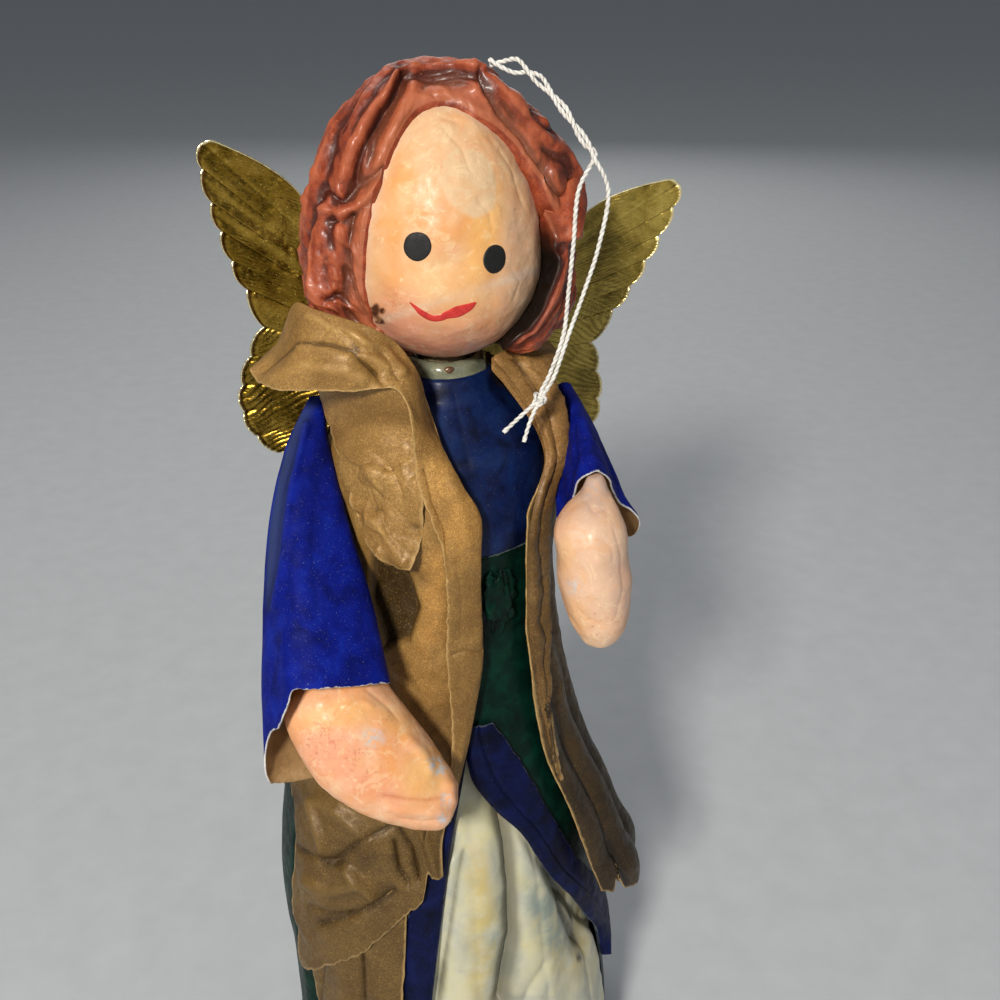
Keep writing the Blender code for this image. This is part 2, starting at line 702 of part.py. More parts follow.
def wing(name, side, tilt, mat):
    """Cambered sheet that fans out from the hinge line to the scalloped rim."""
    rim = wing_outline()
    ca, sa = math.cos(math.radians(tilt)), math.sin(math.radians(tilt))

    def place(u, v):
        x, y = rim[round(u * (len(rim) - 1))]
        x, y = max(0.8, x * ca - y * sa), x * sa + y * ca
        x, y = lerp(0.8, x, v), lerp(lerp(6, -26, u), y, v)
        return Vector((side * x, WING_CAMBER * math.sin(math.pi * x / WING_SPAN), y))

    obj = sheet(name, len(rim) - 1, 4, place, mat, offset=0.0)
    obj.location = Vector((WING_X + side * WING_HALF_TAB, WING_Y, WING_Z)) * MM
    obj.rotation_euler = (0, 0, math.radians(side * WING_SWEEP))
    return obj


wing("right_wing", -1, WING_TILT_R, FOIL_R)
wing("left_wing", 1, WING_TILT_L, FOIL_L)


def place_tab(u, v):
    return Vector((WING_X + lerp(-WING_HALF_TAB + 0.4, WING_HALF_TAB - 0.4, u), WING_Y - 0.4,
                   WING_Z + lerp(-28, 12, v)))


sheet("wing_tab", 3, 5, place_tab, FOIL_T, offset=-1.0)


def place_pad(p):
    """The lump of glue between the coat's back and the foot of the tab."""
    x, z = WING_X + 5.8 * p.x, WING_Z - 23.4 + 4.2 * p.z
    r = 30.75 - 0.39 * max(0.0, z - 215.1)
    t = 0.5 + 0.5 * max(-1.0, min(1.0, 1.4 * p.y))
    return Vector((x, lerp(math.sqrt(r * r - x * x), WING_Y - 0.75, t), z))


blob("wing_glue_pad", 16, 9, place_pad, GLUE)

# ---------------------------------------------------------------- hanging loop
# Two strands leave the crown, run side by side, part into an eye beside the
# head and come together again at the knot on the chest.
EXIT = Vector((11.0, -3.0, 311.2))
JOIN = [Vector((18.5, -6.5, 309.6)), Vector((24.3, -12.0, 302.4)), Vector((31.3, -17.0, 291.5))]
EYE_A = [Vector((27.6, -18.6, 284.5)), Vector((26.8, -18.6, 273.0)), Vector((26.0, -18.4, 262.0))]
EYE_B = [Vector((34.4, -18.2, 284.0)), Vector((32.6, -18.4, 272.0)), Vector((29.4, -18.6, 261.5))]
DOWN = [Vector((25.4, -19.6, 252.6)), Vector((22.0, -22.0, 244.6))]
CORD_KNOT = Vector((18.2, -24.6, 239.2))
BESIDE_TOP = Vector((0.55, 0.30, 0.45)).normalized()
BESIDE_LOW = Vector((0.90, -0.10, -0.35)).normalized()


def strand(sign, eye):
    top, low = BESIDE_TOP * (0.85 * sign), BESIDE_LOW * (0.85 * sign)
    pts = [EXIT + top] + [p + top for p in JOIN] + eye + [p + low for p in DOWN]
    last = CORD_KNOT + (DOWN[-1] - CORD_KNOT).normalized() * 3.2 + low
    return pts + [last]


tube("cord_strand_a", spline(strand(-1, EYE_A), 26), CORD_R, COTTON_A)
tube("cord_strand_b", spline(strand(1, EYE_B), 26), CORD_R, COTTON_B)

knot = blob("cord_knot", 10, 8, lambda p: CORD_KNOT + Vector((1.9 * p.x, 1.7 * p.y, 2.0 * p.z)), COTTON_K)
tail_1 = tube("tail_1", spline([CORD_KNOT, CORD_KNOT + Vector((-4.6, -1.0, -3.4)),
                                CORD_KNOT + Vector((-8.6, -1.8, -6.6))], 5), CORD_R, COTTON_K)
tail_2 = tube("tail_2", spline([CORD_KNOT, CORD_KNOT + Vector((-2.2, -1.4, -4.2)),
                                CORD_KNOT + Vector((-4.0, -2.6, -9.0))], 5), CORD_R, COTTON_K)
for tail in (tail_1, tail_2):
    into(tail, CUTTERS)
    boolean(knot, tail, 'UNION')
dress(bake(knot), COTTON_K)
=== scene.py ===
# Looks of the papier-mache angel doll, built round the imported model.
# Lengths are millimetres until they reach a mesh; MM turns them into metres.
# +Z is up, the doll faces -Y, its own right hand is on -X. Angles round the
# body are degrees from the front (-Y), positive towards +X.
import math

import bpy
import numpy as np
from mathutils import Matrix, Vector
from mathutils.bvhtree import BVHTree


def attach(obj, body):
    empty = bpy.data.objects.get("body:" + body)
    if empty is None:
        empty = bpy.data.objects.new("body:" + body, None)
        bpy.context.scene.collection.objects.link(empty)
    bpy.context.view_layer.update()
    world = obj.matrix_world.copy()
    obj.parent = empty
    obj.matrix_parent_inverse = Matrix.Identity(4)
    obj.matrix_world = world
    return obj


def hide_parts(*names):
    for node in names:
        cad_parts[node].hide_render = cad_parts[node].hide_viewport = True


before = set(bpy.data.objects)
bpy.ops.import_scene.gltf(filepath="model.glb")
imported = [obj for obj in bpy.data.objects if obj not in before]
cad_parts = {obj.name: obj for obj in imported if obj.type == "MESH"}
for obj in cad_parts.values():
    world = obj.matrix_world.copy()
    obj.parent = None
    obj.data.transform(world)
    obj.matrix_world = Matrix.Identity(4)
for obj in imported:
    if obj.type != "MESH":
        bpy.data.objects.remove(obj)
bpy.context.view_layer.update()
MM = 0.001

# ------------------------------------------------------------------ sizes (as in the solids)
BODY = [(0, 50), (40, 46.5), (80, 41.5), (120, 35.5), (150, 30), (172, 26.3),
        (190, 25.6), (208, 26.5), (222, 25), (230, 18), (236, 11.5), (250, 9)]
COAT = [(0, 53.4), (40, 49.9), (80, 44.9), (120, 38.9), (150, 33.4), (172, 29.7),
        (190, 29.0), (208, 29.9), (222, 28.6), (229, 24.5), (235, 17.5), (240, 14.4)]
WAIST_Z = 199.5
OVER_R = [(0, -27), (72, -18), (111, -12), (120, -10), (145, -2), (160, 3), (200, 3)]
OVER_L = [(0, 75), (60, 68), (74, 57), (86, 48), (102, 34), (119, 24), (130, 12),
          (148, 6.5), (160, 5.5), (200, 5.5)]
TURN_R = [(5, -40), (72, -31), (120, -22), (150, -10)]
TURN_L = [(46, 92), (68, 80), (98, 53), (123, 36), (142, 23), (155, 11)]
COAT_EDGE_R = [(106, -12), (121, -13), (139, -7), (163, 3), (176, 7), (202, 6),
               (212, 7), (218, 2), (231, -12), (239, -26)]
LAPEL_R = [(130, -16), (153, -13.5), (181, -14), (192, -21), (211, -19), (230, -29),
           (237, -42)]
HEM_R = [(-80, 58), (-66, 68), (-40, 88), (-19, 106), (-8, 112)]
COAT_EDGE_L = [(70, 72), (82, 66), (105, 54), (137, 40), (159, 37), (186, 34),
               (209, 33), (219, 46), (231, 58), (239, 66)]
LAPEL_L = [(130, 56), (143, 60), (176, 58), (208, 52), (215, 56)]
HEM_L = [(40, 74), (72, 72), (99, 48)]
FLARE_L = 7.0
BACK_HEM = 24.0
SIDE_SEAM = 99.4
VENT_FRONT = [(100, 78), (128, 99.4)]
VENT_BACK = [(100, 113), (128, 100.6)]
COLLAR_R = [(38, 19.5), (55, 30), (70, 40), (84, 45.5), (100, 41), (130, 34), (158, 28)]
COLLAR_L = [(56, 21), (68, 32), (84, 40), (100, 38), (130, 34), (158, 28)]
HEAD_Z, HEAD_R, HEAD_UP, HEAD_DOWN = 266.0, 23.3, 37.0, 22.5
HAIR_Z = [(248, 25), (251.8, 30), (258, 32), (266, 31.5), (275, 30.5), (284, 28.5), (295.5, 24),
          (301.8, 19), (306.8, 14), (310.1, 9.5), (310.5, 3.0)]
FACE_ARCH = [(236, 21.2), (256, 21.5), (266, 21.3), (275, 20.3), (284, 17.5), (291, 13.5),
             (296, 8), (298.5, 0)]
WING_Y, WING_Z, WING_X, WING_HALF_TAB = 33.0, 240.0, 3.0, 7.5
WING_SWEEP, WING_TILT_R, WING_TILT_L = 5.0, 8.0, -7.0
WING_TOP = [(0.8, 8), (10, 15.5), (20, 22.5), (28, 28), (34, 33.6), (42, 38), (49.5, 40.6), (53.5, 41.6), (55.6, 40.6)]
WING_NOTCH = [(55.6, 40.6), (55.2, 34.5), (52.6, 26.5), (50, 19.5), (47, 12), (43, 5), (38.2, -5), (41.2, -13.5),
              (43, -22), (42.4, -29.5), (38.5, -36.5), (31.5, -41), (22, -39.5)]
WING_BULGE, WING_CAMBER, WING_SPAN = 1.3, 1.8, 62.0
WING_FOOT = (0.8, -28)

V3 = lambda *p: np.array(p, float)
SHOULDER_R, WRIST_R, TIP_R = V3(-31, 3, 233), V3(-32.9, -35.8, 172.3), V3(-6.8, -49.5, 143)
SHOULDER_L, CUFF_L = V3(31, 3, 230.5), V3(29, -31, 219.5)
WRIST_L, TIP_L = V3(27.2, -41.8, 224), V3(29.4, -44.6, 185)


# ------------------------------------------------------------------ number helpers
def unit(v):
    v = np.asarray(v, float)
    return v / np.maximum(1e-9, np.linalg.norm(v, axis=-1, keepdims=True))


def lerp(a, b, t):
    return a + (b - a) * t


def step(a, b, x):
    t = np.clip((np.asarray(x, float) - a) / (b - a), 0, 1)
    return t * t * (3 - 2 * t)


def curve(x, pts):
    """Monotone Hermite curve through (x, y) knots, as in the solids."""
    X = np.array([p[0] for p in pts], float)
    Y = np.array([p[1] for p in pts], float)
    d = np.diff(Y) / np.diff(X)
    m = np.zeros(len(X))
    m[0], m[-1] = d[0], d[-1]
    for k in range(1, len(X) - 1):
        if d[k - 1] * d[k] > 0:
            m[k] = 2 * d[k - 1] * d[k] / (d[k - 1] + d[k])
    xc = np.clip(np.asarray(x, float), X[0], X[-1])
    i = np.clip(np.searchsorted(X, xc, side="right") - 1, 0, len(X) - 2)
    h = X[i + 1] - X[i]
    t = (xc - X[i]) / h
    return ((2 * t ** 3 - 3 * t ** 2 + 1) * Y[i] + (t ** 3 - 2 * t ** 2 + t) * h * m[i]
            + (-2 * t ** 3 + 3 * t ** 2) * Y[i + 1] + (t ** 3 - t ** 2) * h * m[i + 1])


def polar(deg, r, z):
    a = np.radians(deg)
    deg, r, z = np.broadcast_arrays(deg, r, z)
    return np.stack([r * np.sin(a), -r * np.cos(a), z], axis=-1)


def body_r(z):
    return curve(z, BODY)


def coat_r(z):
    return curve(z, COAT)


def lattice(i, j, k, seed):
    n = (i * 73856093) ^ (j * 19349663) ^ (k * 83492791) ^ (seed * 40503 + 977)
    n = n & 0xFFFFFFFF
    n = ((n ^ (n >> 13)) * 1274126177) & 0xFFFFFFFF
    n = n ^ (n >> 16)
    return (n & 0xFFFF) / 32767.5 - 1.0


def vnoise(P, seed=0):
    P = np.asarray(P, float)
    I = np.floor(P).astype(np.int64)
    f = P - I
    f = f * f * (3 - 2 * f)
    out = 0.0
    for dx in (0, 1):
        wx = f[..., 0] if dx else 1 - f[..., 0]
        for dy in (0, 1):
            wy = f[..., 1] if dy else 1 - f[..., 1]
            for dz in (0, 1):
                wz = f[..., 2] if dz else 1 - f[..., 2]
                out = out + wx * wy * wz * lattice(I[..., 0] + dx, I[..., 1] + dy, I[..., 2] + dz, seed)
    return out


def fbm(P, size, octaves=3, seed=0, gain=0.5):
    P = np.asarray(P, float) / size
    if P.shape[-1] == 2:
        P = np.concatenate([P, np.full(P.shape[:-1] + (1,), 0.37)], axis=-1)
    out, amp = 0.0, 1.0
    for o in range(octaves):
        out = out + amp * vnoise(P * 2 ** o + 17.3 * o, seed + o)
        amp *= gain
    return out


def noise1(x, size, seed=0, octaves=2):
    x = np.asarray(x, float)
    return fbm(np.stack([x, np.zeros_like(x) + 3.1 * seed], axis=-1), size, octaves, seed)


def facets(S, size, seed=0, warp=0.6):
    """Crumpled paper: heights joined by flat triangles, -1 to 1."""
    x = np.asarray(S, float) / size
    z = np.full(x.shape[:-1] + (1,), 0.5)
    q = np.concatenate([x * 0.55, z], axis=-1)
    x = x + warp * np.stack([vnoise(q, seed + 31), vnoise(q + 9.7, seed + 57)], axis=-1)
    c, s = math.cos(seed * 1.7), math.sin(seed * 1.7)
    x = np.stack([x[..., 0] * c - x[..., 1] * s, x[..., 0] * s + x[..., 1] * c], axis=-1)
    k = (x[..., 0] + x[..., 1]) * 0.3660254
    a, b = x[..., 0] + k, x[..., 1] + k
    i, j = np.floor(a).astype(np.int64), np.floor(b).astype(np.int64)
    u, v = a - i, b - j
    zero = np.zeros_like(i)
    h00 = lattice(i, j, zero, seed)
    h11 = lattice(i + 1, j + 1, zero, seed)
    h10 = lattice(i + 1, j, zero, seed)
    h01 = lattice(i, j + 1, zero, seed)
    low = u >= v
    return np.where(low, (1 - u) * h00 + (u - v) * h10 + v * h11, (1 - v) * h00 + (v - u) * h01 + u * h11)


def crumple(S, size, seed=0):
    return 0.62 * facets(S, size, seed) + 0.34 * facets(S, size * 0.47, seed + 5) \
        + 0.14 * facets(S, size * 0.21, seed + 9)


# ------------------------------------------------------------------ camera
F_PX, PITCH, DIST, CAM_H, CAM_AZ = 1150.0, 26.5, 265.5, 335.6, -8.0
_az, _p = math.radians(CAM_AZ), math.radians(PITCH)
_back = V3(math.sin(_az), -math.cos(_az), 0)
CAM = _back * DIST + V3(0, 0, CAM_H)
_yaw = math.atan((500 - 447) / F_PX / math.cos(_p))
_f = -_back * math.cos(_yaw) + V3(-_back[1], _back[0], 0) * math.sin(_yaw)
FWD = V3(_f[0] * math.cos(_p), _f[1] * math.cos(_p), -math.sin(_p))
RIGHT = V3(_f[1], -_f[0], 0)
UP = np.cross(RIGHT, FWD)

cam_data = bpy.data.cameras.new("camera")
cam_data.lens, cam_data.sensor_width = 36 * F_PX / 1000, 36
cam_data.clip_start, cam_data.clip_end = 0.01, 50
camera = bpy.data.objects.new("camera", cam_data)
camera.matrix_world = Matrix([[RIGHT[k], UP[k], -FWD[k], CAM[k] * MM] for k in range(3)] + [[0, 0, 0, 1]])
bpy.context.scene.collection.objects.link(camera)
bpy.context.scene.camera = camera


def to_px(P):
    d = np.asarray(P, float) - CAM
    w = d @ FWD
    return np.stack([500 + F_PX * (d @ RIGHT) / w, 500 - F_PX * (d @ UP) / w], axis=-1)


def px_ray(x, y):
    return unit(FWD + RIGHT * ((x - 500) / F_PX) - UP * ((y - 500) / F_PX))


def line_dist(Q, poly):
    """Distance in pixels to a polyline, and on which side (+ right of travel)."""
    best = np.full(Q.shape[:-1], 1e9)
    side = np.zeros(Q.shape[:-1])
    poly = [np.array(p[:2], float) for p in poly]
    for a, b in zip(poly, poly[1:]):
        ab = b - a
        t = np.clip(((Q - a) @ ab) / max(1e-9, ab @ ab), 0, 1)
        off = Q - (a + t[..., None] * ab)
        d = np.linalg.norm(off, axis=-1)
        near = d < best
        best = np.where(near, d, best)
        side = np.where(near, np.sign(ab[0] * off[..., 1] - ab[1] * off[..., 0]), side)
    return best, side


def inside(Q, poly, feather):
    """1 inside a pixel polygon, 0 outside, soft over the feather."""
    poly = [np.array(p, float) for p in poly]
    odd = np.zeros(Q.shape[:-1], bool)
    for a, b in zip(poly, poly[1:] + poly[:1]):
        cross = (a[1] > Q[..., 1]) != (b[1] > Q[..., 1])
        xi = a[0] + (Q[..., 1] - a[1]) / (b[1] - a[1] + 1e-12) * (b[0] - a[0])
        odd ^= cross & (Q[..., 0] < xi)
    d, _ = line_dist(Q, poly + poly[:1])
    return step(-feather, feather, np.where(odd, d, -d))


def oval(Q, cx, cy, rx, ry, turn=0.0, soft=0.3):
    a = math.radians(turn)
    x, y = Q[..., 0] - cx, Q[..., 1] - cy
    u, v = (x * math.cos(a) + y * math.sin(a)) / rx, (-x * math.sin(a) + y * math.cos(a)) / ry
    return 1 - step(1 - soft, 1 + soft, np.hypot(u, v))


def facing(P, N):
    return step(0.02, 0.25, np.sum(unit(CAM - P) * N, axis=-1))


def carve(P, N, ops):
    """Height change in mm along the normal from strokes given where the picture shows them."""
    Q, out = to_px(P), np.zeros(P.shape[:-1])
    for kind, poly, width, depth in ops:
        if kind == "area":
            out += depth * inside(Q, poly, width)
            continue
        d, side = line_dist(Q, poly)
        if kind == "line":
            out += depth * np.exp(-(d / width) ** 2)
        elif kind == "crease":
            out += depth * np.exp(-d / width)
        elif kind == "step":
            out += depth * side * (1 - np.exp(-d / 1.4)) * np.exp(-(d / width) ** 2)
    return out * facing(P, N)


# ------------------------------------------------------------------ mesh helpers
def normals(P, wrap=False):
    if wrap:
        du = np.roll(P, -1, axis=1) - np.roll(P, 1, axis=1)
    else:
        du = np.gradient(P, axis=1)
    dv = np.gradient(P, axis=0)
    return unit(np.cross(du, dv))


def edge_mm(P):
    """Distance along the sheet to its nearest border, for an open grid."""
    du = np.linalg.norm(np.diff(P, axis=1), axis=-1)
    dv = np.linalg.norm(np.diff(P, axis=0), axis=-1)
    zu, zv = np.zeros((P.shape[0], 1)), np.zeros((1, P.shape[1]))
    lu = np.concatenate([zu, np.cumsum(du, axis=1)], axis=1)
    lv = np.concatenate([zv, np.cumsum(dv, axis=0)], axis=0)
    return np.minimum(np.minimum(lu, lu[:, -1:] - lu), np.minimum(lv, lv[-1:] - lv))


def mesh_from(name, verts, faces, mats, attrs=None, index=None):
    verts, faces = np.asarray(verts, np.float32), np.asarray(faces, np.int32)
    n = faces.shape[1]
    mesh = bpy.data.meshes.new(name)
    mesh.vertices.add(len(verts))
    mesh.vertices.foreach_set("co", (verts * MM).ravel())
    mesh.loops.add(faces.size)
    mesh.loops.foreach_set("vertex_index", faces.ravel())
    mesh.polygons.add(len(faces))
    mesh.polygons.foreach_set("loop_start", np.arange(0, faces.size, n, dtype=np.int32))
    for m in mats:
        mesh.materials.append(m)
    if index is not None:
        mesh.polygons.foreach_set("material_index", np.asarray(index, np.int32))
    mesh.update(calc_edges=True)
    mesh.validate()
    mesh.shade_smooth()
    for key, val in (attrs or {}).items():
        a = mesh.attributes.new(key, 'FLOAT', 'POINT')
        a.data.foreach_set("value", np.asarray(val, np.float32).ravel())
    obj = bpy.data.objects.new(name, mesh)
    bpy.context.scene.collection.objects.link(obj)
    return obj


def grid_faces(nv, nu, wrap=False):
    idx = np.arange(nv * nu).reshape(nv, nu)
    right = np.roll(idx, -1, axis=1)
    cols = nu if wrap else nu - 1
    return np.stack([idx[:-1, :cols], right[:-1, :cols], right[1:, :cols], idx[1:, :cols]], axis=-1).reshape(-1, 4)


def skin(name, P, mats, attrs=None, wrap=False):
    nv, nu = P.shape[:2]
    return mesh_from(name, P.reshape(-1, 3), grid_faces(nv, nu, wrap), mats, attrs)


def paper(name, P, mats, thick=0.45, attrs=None, wrap=False, out=None, side=0.0):
    """A thin sheet: face, back and torn rim take the three materials."""
    if out is None:
        out = P * np.array([1, 1, 0.0])
    attrs = dict(attrs or {})
    if "edge" not in attrs:
        attrs["edge"] = np.full(P.shape[:2], 9.0) if wrap else edge_mm(P)
    if np.sum(normals(P, wrap) * out) < 0:
        P = P[:, ::-1]
        attrs = {k: v[:, ::-1] for k, v in attrs.items()}
    obj = skin(name, np.ascontiguousarray(P), mats, attrs, wrap)
    mod = obj.modifiers.new("thickness", 'SOLIDIFY')
    mod.thickness, mod.offset = thick * MM, side
    mod.material_offset, mod.material_offset_rim = 1, 2
    return obj


def uv(nu, nv):
    return np.meshgrid(np.linspace(0, 1, nu), np.linspace(0, 1, nv))


def place(obj, body, slot, *nodes):
    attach(obj, body)
    if nodes:
        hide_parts(*nodes)
    return obj


# ------------------------------------------------------------------ materials
def srgb(r, g, b):
    return tuple(c / 255 / 12.92 if c <= 10.31 else ((c / 255 + 0.055) / 1.055) ** 2.4 for c in (r, g, b))


class Look:
    """A Principled material and the nodes that drive it."""

    def __init__(self, name, rough=0.5, metal=0.0, spec=0.5, coat=0.0, coat_rough=0.1, sheen=0.0,
                 ior=1.5, coat_tint=None):
        self.mat = bpy.data.materials.new(name)
        self.mat.use_nodes = True
        self.nt = self.mat.node_tree
        self.b = self.nt.nodes["Principled BSDF"]
        for key, val in (("Roughness", rough), ("Metallic", metal), ("Specular IOR Level", spec),
                         ("Coat Weight", coat), ("Coat Roughness", coat_rough), ("Sheen Weight", sheen),
                         ("IOR", ior)):
            self.b.inputs[key].default_value = val
        tc = self.nt.nodes.new("ShaderNodeTexCoord")
        self.co = tc.outputs["Object"]

    def put(self, sock, val):
        if isinstance(val, bpy.types.NodeSocket):
            self.nt.links.new(val, sock)
        elif isinstance(val, tuple):
            sock.default_value = (val[0], val[1], val[2], 1) if len(sock.default_value) == 4 else val
        else:
            sock.default_value = val

    def stretch(self, sx, sy, sz):
        n = self.nt.nodes.new("ShaderNodeMapping")
        self.put(n.inputs["Vector"], self.co)
        n.inputs["Scale"].default_value = (sx, sy, sz)
        return n.outputs["Vector"]

    def noise(self, mm, detail=3.0, rough=0.55, twist=0.0, vec=None):
        """Noise whose features are about mm across, 0 to 1."""
        n = self.nt.nodes.new("ShaderNodeTexNoise")
        self.put(n.inputs["Vector"], vec or self.co)
        n.inputs["Scale"].default_value = 1000.0 / mm
        n.inputs["Detail"].default_value = detail
        n.inputs["Roughness"].default_value = rough
        n.inputs["Distortion"].default_value = twist
        return n.outputs["Fac"]

    def cells(self, mm, feature='F1', vec=None, out="Distance"):
        n = self.nt.nodes.new("ShaderNodeTexVoronoi")
        n.feature = feature
        self.put(n.inputs["Vector"], vec or self.co)
        n.inputs["Scale"].default_value = 1000.0 / mm
        return n.outputs[out]

    def attr(self, name):
        n = self.nt.nodes.new("ShaderNodeAttribute")
        n.attribute_name = name
        return n.outputs["Fac"]

    def math(self, op, a, b=0.0, c=0.0, clamp=False):
        n = self.nt.nodes.new("ShaderNodeMath")
        n.operation, n.use_clamp = op, clamp
        for k, v in enumerate((a, b, c)):
            self.put(n.inputs[k], v)
        return n.outputs[0]

    def band(self, val, a, b, c=0.0, d=1.0):
        """Smooth map of a..b to c..d."""
        n = self.nt.nodes.new("ShaderNodeMapRange")
        n.interpolation_type = 'SMOOTHSTEP'
        self.put(n.inputs["Value"], val)
        for key, v in (("From Min", a), ("From Max", b), ("To Min", c), ("To Max", d)):
            n.inputs[key].default_value = v
        return n.outputs["Result"]

    def ramp(self, fac, *stops):
        n = self.nt.nodes.new("ShaderNodeValToRGB")
        self.put(n.inputs["Fac"], fac)
        el = n.color_ramp.elements
        el[0].position, el[0].color = stops[0][0], (*stops[0][1], 1)
        el[1].position, el[1].color = stops[-1][0], (*stops[-1][1], 1)
        for pos, col in stops[1:-1]:
            e = el.new(pos)
            e.color = (*col, 1)
        return n.outputs["Color"]

    def mix(self, fac, a, b, mode='MIX'):
        n = self.nt.nodes.new("ShaderNodeMix")
        n.data_type, n.blend_type = 'RGBA', mode
        self.put(n.inputs[0], fac)
        self.put(n.inputs[6], a)
        self.put(n.inputs[7], b)
        return n.outputs[2]

    def set(self, key, val):
        self.put(self.b.inputs[key], val)
        return self

    def bump(self, *layers):
        last = None
        for height, mm, strength in layers:
            n = self.nt.nodes.new("ShaderNodeBump")
            n.inputs["Distance"].default_value = mm * MM
            n.inputs["Strength"].default_value = strength
            self.put(n.inputs["Height"], height)
            if last:
                self.put(n.inputs["Normal"], last)
            last = n.outputs["Normal"]
        self.put(self.b.inputs["Normal"], last)
        return self


def make_gold(name, mid, bright, dark, metal=0.35, wear_and_sheen=0.5):
    m = Look(name, rough=0.5, metal=metal, spec=0.4)
    cloud = m.noise(16, 4, 0.6, 0.6)
    grain = m.noise(0.6, 4, 0.75)
    glint = m.noise(0.26, 2, 0.7)
    base = m.ramp(cloud, (0.30, dark), (0.47, mid), (0.70, bright))
    base = m.mix(m.band(m.noise(4.2, 4, 0.65, 0.8), 0.46, 0.66, 0.0, 0.6), base, tuple(c * 0.72 for c in mid))
    base = m.mix(m.band(grain, 0.36, 0.62, 0.0, 0.75), base, tuple(c * 0.62 for c in mid))
    base = m.mix(m.band(glint, 0.56, 0.66, 0.0, 0.5), base, tuple(min(1, c * 1.6) for c in bright))
    # dent darkens the creases and lightens the ridges: painted shade and painted highlight
    dent = m.attr("dent")
    base = m.mix(m.band(dent, -0.15, -1.1, 0.0, 0.72), base, tuple(c * 0.35 for c in dark))
    base = m.mix(m.band(dent, 0.3, 1.2, 0.0, 0.42), base, bright)
    # painted shade: the shade mask darkens the lower coat and its hollows, and the glints come back on top of it
    base = m.mix(m.attr("painted_shade"), base, (0.34, 0.35, 0.29), 'MULTIPLY')
    base = m.mix(m.math('MULTIPLY', m.attr("painted_shade"), m.band(m.noise(0.4, 2, 0.7), 0.58, 0.68, 0.0, 0.4)), base, bright)
    edge = m.math('ADD', m.attr("edge"), m.math('MULTIPLY', m.noise(3.0, 3, 0.6), 1.6))
    base = m.mix(m.band(edge, 1.9, 0.9, 0.0, wear_and_sheen), base, srgb(205, 170, 112))
    lit = m.attr("lit")
    base = m.mix(m.math('MULTIPLY', lit, m.band(m.noise(3.4, 3, 0.6), 0.1, 0.6, 0.45, 0.9)), base, (1.75, 1.65, 1.5), 'MULTIPLY')
    m.set("Base Color", base)
    m.set("Roughness", m.band(m.noise(2.4, 3, 0.6), 0.3, 0.75, 0.42, 0.68))
    m.bump((m.noise(2.6, 4, 0.6), 0.3, 0.4), (m.noise(0.5, 3, 0.65), 0.07, 0.6))
    return m.mat


def make_paint(name, mid, light, dark, rough=0.36, coat=0.25, speck=0.0, edge_white=0.8, mottled=7.0, spec=0.3):
    m = Look(name, rough=rough, coat=coat, coat_rough=0.22, spec=spec)
    base = m.ramp(m.noise(mottled, 4, 0.6, 0.4), (0.32, dark), (0.5, mid), (0.68, light))
    # dent darkens the creases and lightens the ridges: painted shade and painted highlight
    base = m.mix(m.band(m.attr("dent"), -0.1, -1.0, 0.0, 0.6), base, tuple(c * 0.35 for c in dark))
    base = m.mix(m.band(m.attr("dent"), 0.35, 1.2, 0.0, 0.35), base, light)
    base = m.mix(m.band(m.noise(0.34, 3, 0.7), 0.64, 0.74, 0.0, speck), base, srgb(225, 225, 232))
    edge = m.math('ADD', m.attr("edge"), m.math('MULTIPLY', m.noise(1.6, 3, 0.7), 1.5))
    base = m.mix(m.band(edge, 1.05, 0.75, 0.0, edge_white), base, srgb(226, 222, 212))
    # painted sheen: a greyer blue where the mask is set, used on the sleeve's left facet
    base = m.mix(m.attr("painted_sheen"), base, srgb(66, 80, 116))
    m.set("Base Color", base)
    m.set("Roughness", m.band(m.noise(3.0, 4, 0.65), 0.3, 0.75, rough - 0.06, rough + 0.16))
    m.bump((m.noise(1.4, 3, 0.6), 0.10, 0.4), (m.noise(0.35, 2, 0.6), 0.03, 0.5))
    return m.mat


